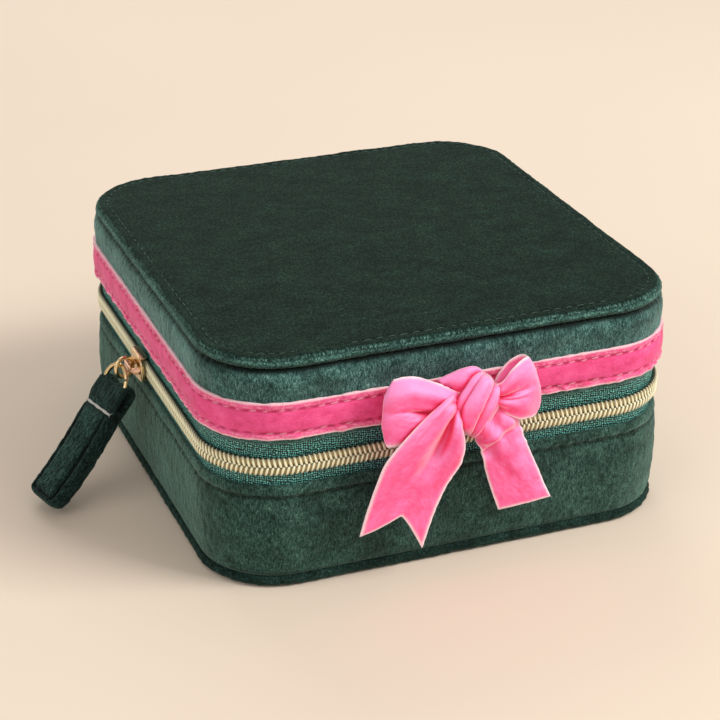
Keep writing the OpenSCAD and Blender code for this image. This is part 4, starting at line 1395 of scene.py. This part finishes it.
# ------------------------------------------------------------------ padded tab of the pull
TAB_SLOPE = math.radians(50)
TAB_ORIGIN = np.array([7.174, 0, -7.168])
TAB_ALONG = np.array([math.cos(TAB_SLOPE), 0, -math.sin(TAB_SLOPE)])
TAB_OFF = np.array([math.sin(TAB_SLOPE), 0, math.cos(TAB_SLOPE)])
TAB_L, TAB_W, TAB_T = 28.9, 6.3, 2.4    # length, half width, half thickness
TAB_START = 1.0
TACK_X = 2.6                            # the bar tack across the tab
SEAM_IN = 1.75                          # the groove round the tab, from its edge


def from_tab(points):
    """From the tab's own axes (along, across, off its outer face) to the case's."""
    points = np.asarray(points, float)
    return from_pull(TAB_ORIGIN + points[..., :1] * TAB_ALONG
                     + points[..., 1:2] * np.array([0.0, 1, 0]) + points[..., 2:3] * TAB_OFF)


def even_angles(half_y, half_z, power_y, power_z, count):
    """Angles evenly spaced round a squared-off oval, the distance to each and its girth."""
    angle = np.linspace(0, TAU, 20001)
    y = half_y * blunt(np.cos(angle), power_y)
    z = half_z * blunt(np.sin(angle), power_z)
    lengths = np.r_[0, np.cumsum(np.hypot(np.diff(y), np.diff(z)))]
    at = np.arange(count) / count * lengths[-1]
    return np.interp(at, lengths, angle), at, lengths[-1]


def tab_bend(x):
    t = np.clip((x - TAB_START) / (TAB_L - TAB_START), 0, 1)
    return -0.35 * np.sin(t * math.pi) ** 1.1 + 0.9 * np.clip((t - 0.5) / 0.5, 0, 1) ** 2


def tab_body():
    rows, cols = pick((150, 132))
    x = TAB_START + (TAB_L - TAB_START) * (1 - (1 - np.linspace(0, 1, rows)) ** 1.35)
    power_y, power_z = 0.42, 0.42 + 0.12
    angle, arc, girth = even_angles(TAB_W, TAB_T, power_y, power_z, cols)
    x, angle = np.meshgrid(x, angle, indexing="ij")
    arc = np.broadcast_to(arc, x.shape)
    from_end = TAB_L - x
    corner = 3.0 - np.sqrt(np.maximum(9.0 - (3.0 - from_end) ** 2, 0))
    half_w = TAB_W - np.where(from_end < 3.0, corner, 0) - 0.15 * bell(x, TACK_X, 1.2)
    half_t = TAB_T * np.sqrt(np.clip(1 - (1 - np.clip(from_end / 1.5, 0, 1)) ** 2, 0.0, 1))
    half_t = np.maximum(half_t, 0.05) * (0.90 + 0.10 * smooth(1, 6, x))
    cosine, sine = np.cos(angle), np.sin(angle)
    y, z = half_w * blunt(cosine, power_y), half_t * blunt(sine, power_z)
    out_y, out_z = cosine * np.abs(cosine), sine * np.abs(sine)
    size = np.hypot(out_y, out_z)
    edge = np.minimum(half_w - np.abs(y), np.where(from_end < 6, from_end, 9.0))
    on_face = smooth(0.45, 0.8, np.abs(z) / np.maximum(half_t, 0.2))
    past_tack = smooth(3.2, 5.0, x)
    tack = bell(x, TACK_X, 0.7)
    height = (-0.62 * bell(edge, SEAM_IN, 0.42) * on_face * past_tack
              + 0.30 * smooth(2.2, 3.6, edge) * on_face * smooth(3.2, 6.5, x)
              - 0.85 * tack * on_face)
    # the pile: height, cell round, cell along, seed
    for rise, around, along, seed in ((0.12, 0.42, 0.85, 201), (0.07, 1.0, 1.9, 202),
                                      (0.07, 3.6, 4.4, 203)):
        cells = int(girth / around)
        height = height + rise * noise(arc / girth * cells, x / along, seed, cells)
    y, z = y + out_y / size * height, z + out_z / size * height + tab_bend(x)
    # painted shade in the seam groove, on the edges and at the bar tack, and a painted highlight on
    # the raised middle
    shade = ((1 - 0.85 * bell(edge, SEAM_IN, 0.5) * on_face * past_tack)
             * (0.75 + 0.55 * smooth(2.0, 3.6, edge) * on_face) * (1 - 0.6 * tack))
    body = add_plug("pull_tab_padded", from_tab(np.stack([x, y, z], -1)), arc, x,
                    {"dim": shade})
    outer = PULL_OUT * TAB_OFF[0] + PULL_UP * TAB_OFF[2]
    put(faced(body, (rows // 2) * cols + cols // 4, outer),
        TAB_VELVET, "pull_tab", "green_velvet", "pull_tab_velvet")


def tab_fold():
    """The strip that folds over the ring, with one end on each face of the tab."""
    half_w, half_t = 6.0, 0.78
    bend = [(-3.45 - 1.5 * math.sin(angle), 1.5 * math.cos(angle))
            for angle in np.linspace(0, math.pi, 13)]
    # (along, off the face): over the outer face, round the bend and back on the inner face
    strip = [(6.4, 0.9), (4.6, 1.12), (3.5, 0.95), (2.6, 0.62), (1.7, 0.95), (0.4, 1.4),
             (-1.4, 1.52)] + bend + [(-1.4, -1.52), (0.4, -1.45), (2.2, -1.25),
                                     (4.2, -1.1), (6.4, -0.9)]
    line = catmull([(x, 0, z) for x, z in strip], pick(120))
    tangent = np.gradient(line, axis=0)
    tangent /= np.linalg.norm(tangent, axis=1)[:, None]
    normal = np.stack([-tangent[:, 2], tangent[:, 1], tangent[:, 0]], -1)
    cols = pick(100)
    angle, arc, girth = even_angles(half_w, half_t, 0.3, 0.6, cols)
    cosine, sine = np.cos(angle), np.sin(angle)
    u, arc = np.meshgrid(np.linspace(0, 30, len(line)), arc, indexing="ij")
    fine, coarse = int(girth / 0.42), int(girth / 1.1)
    height = (0.12 * noise(arc / girth * fine, u / 0.75, 211, fine)
              + 0.11 * noise(arc / girth * coarse, u / 1.8, 212, coarse))
    sideways = half_w * blunt(cosine, 0.3) + height * blunt(cosine, 2)
    off = half_t * blunt(sine, 0.6) + height * sine * np.abs(sine)
    points = (line[:, None] + np.array([0.0, 1, 0]) * sideways[..., None]
              + normal[:, None] * off[..., None])
    # a shallow hollow in the middle of the bend
    x = points[..., 0]
    points[..., 0] += 0.6 * bell(points[..., 1], 0, 2.2) * (1 - smooth(-5.2, -4.0, x))
    points[..., 2] += tab_bend(points[..., 0])
    # the fold's colour held at 0.72 all over, like the tab's darker edges
    fold = add_plug("pull_tab_fold", from_tab(points), arc, u,
                    {"dim": np.full(arc.shape, 0.72)})
    row = 4
    index = row * cols + cols // 4
    middle = from_tab(line[row] + np.array([0, 0, tab_bend(line[row][0])]))
    outwards = np.array(fold.data.polygons[index].center) * 1000 - middle
    put(faced(fold, index, outwards), TAB_VELVET, "pull_tab", "green_velvet")


def tab_tack():
    """Three threads across the tab, with a few loose ends on both sides."""
    reach = 5.1
    parts = []
    t = np.linspace(-1, 1, 25)
    for k in range(3):
        z = (tab_bend(np.full_like(t, TACK_X)) + 1.52 + 0.16 * np.cos(t * math.pi / 2)
             + 0.08 * (k == 1) - 0.1 * np.abs(t) ** 6)
        x = TACK_X + 0.16 * (k - 1) + 0.06 * np.sin(t * 9 + k)
        parts.append(tube(from_tab(np.stack([x, reach * t, z], -1)), 0.17, 7))
    t = np.linspace(0, 1, 5)
    for side in (-1, 1):
        for k in range(5):
            angle = k * 1.3 + (0.4 if side > 0 else 0)
            z = (tab_bend(np.full_like(t, TACK_X)) + 1.42
                 + 0.35 * t * abs(math.sin(angle)) + 0.1 * t)
            end = np.stack([TACK_X + 0.7 * t * math.cos(angle), side * (reach + 0.6 * t), z], -1)
            parts.append(tube(from_tab(end), 0.09 * (1 - 0.6 * t), 5))
    put(add_merged("pull_tab_tack_thread", parts), WHITE_THREAD, "pull_tab", "white_thread",
        "pull_tab_bar_tack")


def end_stops(body):
    """Metal staples round the ends of a coil, three wires each."""
    node = body + "_zip_end_stops"
    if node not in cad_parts:
        return
    low, high = box_mm(node)
    angle = np.linspace(0, TAU, 40, endpoint=False)
    y, z = ((low[k] + high[k]) / 2 + (high[k] - low[k] - 0.5) / 2 * blunt(turn, 0.4)
            for k, turn in ((1, np.cos(angle)), (2, np.sin(angle))))
    parts = []
    for side in (-1, 1):
        for shift in (-0.32, 0.0, 0.32):
            x = np.full_like(angle, side * (high[0] - 0.55) + shift)
            parts.append(tube(np.stack([x, y, z], -1), 0.24, closed=True))
    put(add_merged(node + "_staples", parts), GOLD, body, "gold_metal", node)


tab_body()
tab_fold()
tab_tack()
end_stops("base")
end_stops("lid")


# ------------------------------------------------------------------ fabric hinge
def hinge():
    low, high = box_mm("hinge_strip_base")
    top_z = box_mm("hinge_strip_lid")[1][2]
    rows, cols = pick((150, 90))
    x, z = np.meshgrid(np.linspace(-high[0], high[0], rows), np.linspace(low[2], top_z, cols),
                       indexing="ij")
    free = smooth(RIM_Z - 1, RIM_Z + 2, z) * (1 - smooth(LID_Z - 2, LID_Z + 1, z))
    bulge = 0.75 * np.sin(np.clip((z - RIM_Z) / (LID_Z - RIM_Z), 0, 1) * math.pi) * free
    wrinkle = free * (0.10 * noise(x / 3.2, z / 5.0, 301)
                      + 0.06 * np.sin(z * 2.4 + 0.6 * noise(x / 6, z / 3, 302)))
    pile = 0.06 * noise(x / 0.5, z / 0.9, 303)
    outer = np.stack([x, high[1] - 0.02 + bulge + wrinkle + pile * free, z], -1)
    inner = np.stack([x, low[1] + 0.02 + bulge + wrinkle, z], -1)
    faces = shell_faces(rows, cols, flip=True)
    strip = add_mesh("hinge_fabric", np.array([outer, inner]), faces,
                     corner_uv(np.array([x, x]), np.array([z, z]), faces))
    put(strip, WALL_VELVET, None, "green_velvet", "hinge_strip_base", "hinge_strip_lid")
    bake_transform(strip)


hinge()

# ------------------------------------------------------------------ linings
_low, _high = box_mm("base_lining_wall")
LINING_OUT = HALF_W - _high[0]
LINING_IN = LINING_OUT + 0.55
LINING_Z0, LINING_Z1 = _low[2], box_mm("lid_lining_wall")[1][2]
# profiles of (inset, z): over the base's rim and down; down the lid and round its rim
BASE_LINING = [
    (TAPE_IN + 0.62, RIM_Z - 2.0), (TAPE_IN + 0.6, RIM_Z + 0.05), (TAPE_IN + 1.0, RIM_Z + 0.42),
    (LINING_OUT - 0.5, RIM_Z + 0.5), (LINING_IN - 0.05, RIM_Z + 0.3), (LINING_IN, RIM_Z - 0.6),
    (LINING_IN - 0.1, RIM_Z - 4), (LINING_IN - 0.1, LINING_Z0 + 3),
    (LINING_IN, LINING_Z0 + 0.05), (LINING_OUT + 0.1, LINING_Z0 + 0.02)]
LID_LINING = [
    (LINING_OUT + 0.1, LINING_Z1 - 0.02), (LINING_IN, LINING_Z1 - 0.05),
    (LINING_IN - 0.1, LINING_Z1 - 3), (LINING_IN - 0.1, LID_Z + 4), (LINING_IN, LID_Z + 0.6),
    (LINING_IN - 0.05, LID_Z - 0.3), (LINING_OUT - 0.5, LID_Z - 0.5),
    (TAPE_IN + 1.0, LID_Z - 0.42), (TAPE_IN + 0.6, LID_Z - 0.05), (TAPE_IN + 0.62, LID_Z + 2.0)]


def suede(along, across, seed):
    return (0.10 * round_noise(along, 70, across / 8, seed)
            + 0.05 * round_noise(along, 260, across / 2.2, seed + 1))


def base_lining_push(along, across, z):
    """Suede with a groove below the rim, on the inner side."""
    return suede(along, across, 401) - 0.16 * bell(z, RIM_Z - 2.4, 0.35) * (across > 5)


def lid_lining_push(along, across, z):
    return -suede(along, across, 411)


put(sweep("base_lining_suede", *resample(round_poly(BASE_LINING, 0.6), 0.6), 0.9,
          base_lining_push), LINING, "base", "lining", "base_lining_wall")
put(flipped(sweep("lid_lining_suede", *resample(round_poly(LID_LINING, 0.6)[::-1], 0.6), 0.9,
                  lid_lining_push)), LINING, "lid", "lining", "lid_lining_wall")


def lining_sheet(node, height):
    high = box_mm(node)[1]
    line = Outline(high[0], high[1], CORNER_R - (HALF_W - high[0]))
    return panel(node + "_cover", 0.0, height, 480,
                 ring_scales(53.0, fine=0.25, reach=2, coarse=0.9), line)


PAD_TOP = box_mm("base_floor_pad")[1][2]
LID_PANEL_Z = box_mm("lid_lining_panel")[0][2]


def pad_height(x, y, edge, along):
    return (PAD_TOP - 0.05 - 1.85 * (1 - smooth(0, 1.1, edge))
            + 0.05 * noise(x / 1.4, y / 1.4, 421) + 0.04 * noise(x / 0.6, y / 0.6, 422))


def lid_panel_height(x, y, edge, along):
    return (LID_PANEL_Z + 0.04 + 0.5 * (1 - smooth(0, 0.9, edge))
            - 0.35 * smooth(1, 5, edge) * (1 - smooth(10, 14.5, edge))
            - 0.05 * noise(x / 1.4, y / 1.4, 431) - 0.03 * noise(x / 0.6, y / 0.6, 432))


put(lining_sheet("base_floor_pad", pad_height), LINING, "base", "lining", "base_floor_pad")
put(flipped(lining_sheet("lid_lining_panel", lid_panel_height)),
    LINING, "lid", "lining", "lid_lining_panel")


# ------------------------------------------------------------------ mirror
def mirror():
    """A bevelled mirror in a padded frame; both look down from the lid."""
    low, high = box_mm("mirror_frame")
    glass_low, glass_high = box_mm("mirror_glass")
    half, glass_half, z0, z1 = high[0], glass_high[0], low[2], high[2]
    border = half - glass_half
    profile = [
        (border - 0.05, z1 - 0.1), (0.25, z1 - 0.05), (0.0, z1 - 0.5), (0.05, z0 + 0.7),
        (0.7, z0 - 0.05), (border * 0.5, z0 - 0.35), (border - 0.9, z0 - 0.02),
        (border - 0.1, z0 + 0.55), (border - 0.02, z1 - 0.6), (border - 0.05, z1 - 0.1)]

    def push(along, across, z):
        return (-0.06 * noise(along / 1.6, across / 1.2, 441)
                - 0.10 * bell(z, z0, 0.4) * ripple(along, 2.6) * 0.4)

    put(flipped(sweep("mirror_frame_padded", *resample(round_poly(profile, 0.6)[::-1], 0.35),
                      0.8, push, closed=True, line=Outline(half, half, 10))),
        ROLL, "lid", "lining", "mirror_frame")

    def glass_height(x, y, edge, along):
        return (glass_low[2] + 0.02 + 1.3 * (1 - smooth(0, 0.15, edge))
                + 0.45 * (1 - np.clip(edge / 3.2, 0, 1)))

    rings = np.array([0, 0.08, 0.15, 0.8, 1.6, 2.4, 3.2, 3.3, 6, 12, 20])
    put(flipped(panel("mirror_plate", 0.0, glass_height, 240, np.r_[1 - rings / 36.0, 0.2],
                      Outline(glass_half - 0.12, glass_half - 0.12, 5.9))),
        MIRROR, "lid", "mirror", "mirror_glass")


mirror()


# ------------------------------------------------------------------ ring rolls and dividers
def roll_end(t):
    """Radius share and depth from the end, for t from the end's centre (0) to its rim (1)."""
    if t > 0.75:
        turn = (t - 0.75) / 0.25 * math.pi / 2
        return 0.7575 + 0.2425 * math.sin(turn), 1.2 * (1 - math.cos(turn))
    return 0.03 + 0.97 * t, 1.1 * (1 - t / 0.75) ** 2


def ring_roll(node, seed):
    """A soft roll of foam in velvet, gathered at both ends."""
    low, high = box_mm(node)
    radius = (high[2] - low[2]) / 2
    centre_y, centre_z = (low[1] + high[1]) / 2, (low[2] + high[2]) / 2
    x0, x1 = low[0], high[0]
    rows, cols = pick((90, 64))
    cap = 0.13                      # share of the rows in each end
    end_in, straight_in = 0.09, 1.29
    radii, stops = np.full(rows, radius), np.zeros(rows)
    for i, t in enumerate(np.linspace(0, 1, rows)):
        if cap <= t <= 1 - cap:
            stops[i] = (x0 + straight_in
                        + (x1 - x0 - 2 * straight_in) * (t - cap) / (1 - 2 * cap))
            continue
        share, depth = roll_end(min(t, 1 - t) / cap)
        radii[i] = radius * share
        stops[i] = x0 + end_in + depth if t < cap else x1 - end_in - depth
    x, angle = np.meshgrid(stops, np.arange(cols) / cols * 2 * math.pi, indexing="ij")
    radii = radii[:, None]
    near_end = bell(np.minimum(x - x0, x1 - x), 0, 2.2)
    gathers = (0.22 * np.cos(angle * 16 + 1.5 * noise(angle * 3, x * 0, seed + 3))
               * near_end * (radii / radius))
    from_seam = ((angle - 4.71) + math.pi) % TAU - math.pi      # a seam along the underside
    height = (-0.10 + gathers * 0.8 - 0.1 * near_end + 0.05 * noise(x / 0.7, angle * 8, seed)
              + 0.09 * noise(x / 5, angle * 1.6, seed + 1) - 0.25 * bell(from_seam, 0, 0.06))
    out = np.maximum(radii + height * smooth(0.2, 0.8, radii / radius), 0.05)
    out = np.minimum(out, radius + 0.02)
    points = np.stack([x, centre_y + out * np.cos(angle), centre_z + out * np.sin(angle)], -1)
    roll = add_plug(node + "_velvet", points, x, angle * radius)
    put(faced(roll, (rows // 2) * cols + cols // 4, (0, 0, 1)), ROLL, "base", "lining", node)


def divider(node):
    """A padded divider with a stitched groove below its top edge, on both sides."""
    seed = 600 + len(node)
    groove_down, pitch = 2.0, 2.6
    low, high = box_mm(node)
    along = 0 if high[0] - low[0] > high[1] - low[1] else 1
    across = 1 - along
    _, half_t, half_h = (high - low)[[along, across, 2]] / 2
    middle = (low + high) / 2
    start, end = low[along], high[along]
    rows, cols = int((end - start) / pick(0.7)) + 2, pick(60)
    run, angle = np.meshgrid(np.linspace(start, end, rows),
                             np.arange(cols) / cols * 2 * math.pi, indexing="ij")
    cosine, sine = np.cos(angle), np.sin(angle)
    z = half_h * blunt(sine, 0.22)
    pile = (0.05 * noise(run / 0.8, angle * 6, seed) - 0.05
            + 0.07 * noise(run / 6, angle * 2, seed + 1))
    groove = -0.28 * bell(half_h - z, groove_down, 0.4) * (0.7 + 0.3 * ripple(run, pitch))
    side = half_t * blunt(cosine, 0.45) + np.minimum(pile + groove, 0.0) * blunt(cosine, 0.3)
    z = z - 0.15 * np.abs(noise(run / 3.0, sine, seed + 2)) * (sine > 0.3)
    points = np.zeros(run.shape + (3,))
    points[..., along], points[..., across] = run, middle[across] + side
    points[..., 2] = middle[2] + z
    wall = add_plug(node + "_velvet", points, run, angle * 6)
    faced(wall, (rows // 2) * cols + cols // 4, (0, 0, 1))
    parts = []
    t = np.linspace(-0.5, 0.5, 5)
    for way in (-1, 1):
        for k in range(int((end - start - 3) / pitch)):
            centres = np.zeros((5, 3))
            centres[:, along] = start + 2 + (k + 0.5) * pitch + t * 1.7
            lift = half_t - 0.24 + 0.06 * np.cos(t * math.pi)
            centres[:, across] = middle[across] + way * lift
            centres[:, 2] = high[2] - groove_down
            parts.append(tube(centres, 0.1, 5))
    sewing = add_merged(node + "_velvet_stitches", parts)
    put(wall, DIVIDER, "base", "lining", node)
    put(sewing, DIVIDER, "base", "lining")


for number in range(1, 7):
    ring_roll("ring_roll_%d" % number, 500 + 10 * number)
for divider_node in ("divider_long", "divider_cross_left", "divider_cross_right"):
    divider(divider_node)


# ------------------------------------------------------------------ stage, camera, light
def stage_floor():
    floor = add_mesh("floor", [(-1600, -900, 0), (1600, -900, 0), (1600, 2600, 0),
                               (-1600, 2600, 0)],
                     [[0, 1, 2, 3]], [(0, 0), (1, 0), (1, 1), (0, 1)], smooth_on=False)
    mat = Shader("floor_matte")
    cloud = mat.noise(mat.position_mm(), scale=0.004, detail=3)
    color = mat.mix(cloud, (0.74, 0.65, 0.55), (0.80, 0.71, 0.61))
    floor.data.materials.append(
        mat.done(Base_Color=color, Roughness=0.8, Specular_IOR_Level=0.2))


def camera():
    azimuth, elevation, tilt = math.radians(-21.471), math.radians(25.771), 0.005
    place = np.array([-173.22, -436.50, 250.02]) / 1000
    back = np.array([math.sin(azimuth) * math.cos(elevation),
                     -math.cos(azimuth) * math.cos(elevation), math.sin(elevation)])
    right = np.array([math.cos(azimuth), math.sin(azimuth), 0.0])
    up = np.cross(back, right)
    right, up = (math.cos(tilt) * right + math.sin(tilt) * up,
                 -math.sin(tilt) * right + math.cos(tilt) * up)
    obj = bpy.data.objects.new("camera", bpy.data.cameras.new("camera"))
    bpy.context.scene.collection.objects.link(obj)
    obj.data.lens = 102.84
    obj.data.sensor_width = 36
    obj.data.clip_start, obj.data.clip_end = 0.01, 10
    matrix = Matrix.Identity(4)
    for i in range(3):
        matrix[i] = right[i], up[i], back[i], place[i]
    obj.matrix_world = matrix
    bpy.context.scene.camera = obj


def area(name, place, target, size, power, color):
    """A square area light; places and size are in metres."""
    light = bpy.data.lights.new(name, "AREA")
    light.shape = "RECTANGLE"
    light.size = light.size_y = size
    light.energy = power
    light.color = color
    obj = bpy.data.objects.new(name, light)
    bpy.context.scene.collection.objects.link(obj)
    obj.location = place
    obj.rotation_mode = "QUATERNION"
    obj.rotation_quaternion = (Vector(target) - Vector(place)).to_track_quat("-Z", "Y")


stage_floor()
camera()
area("key", place=(0.75, -0.55, 0.85), target=(0, 0, 0.02), size=0.55, power=12.5,
     color=(1.0, 0.94, 0.87))
area("fill", place=(-0.9, -0.35, 0.6), target=(0, 0, 0.03), size=0.9, power=2.6,
     color=(1.0, 0.95, 0.90))
area("rim_light", place=(0.1, 1.0, 0.7), target=(0, 0, 0.03), size=0.8, power=4.0,
     color=(1.0, 0.96, 0.92))
world = bpy.data.worlds.new("world")
bpy.context.scene.world = world
world.use_nodes = True
background = world.node_tree.nodes["Background"]
background.inputs["Color"].default_value = (1.0, 0.93, 0.86, 1)
background.inputs["Strength"].default_value = 0.50
bpy.context.scene.view_settings.view_transform = "Standard"
bpy.context.scene.view_settings.look = "None"

# nodes that stay as they are: hidden boards and foam
KEPT = {
    "base_floor_board": BOARD, "base_wall_board": BOARD, "lid_top_board": BOARD,
    "lid_wall_board": BOARD, "lid_foam_pad": FOAM, "pull_tab_core": FOAM,
}
for node_name, node_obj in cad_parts.items():
    if not node_obj.hide_render:
        node_obj.data.materials.clear()
        node_obj.data.materials.append(KEPT.get(node_name, LINING))
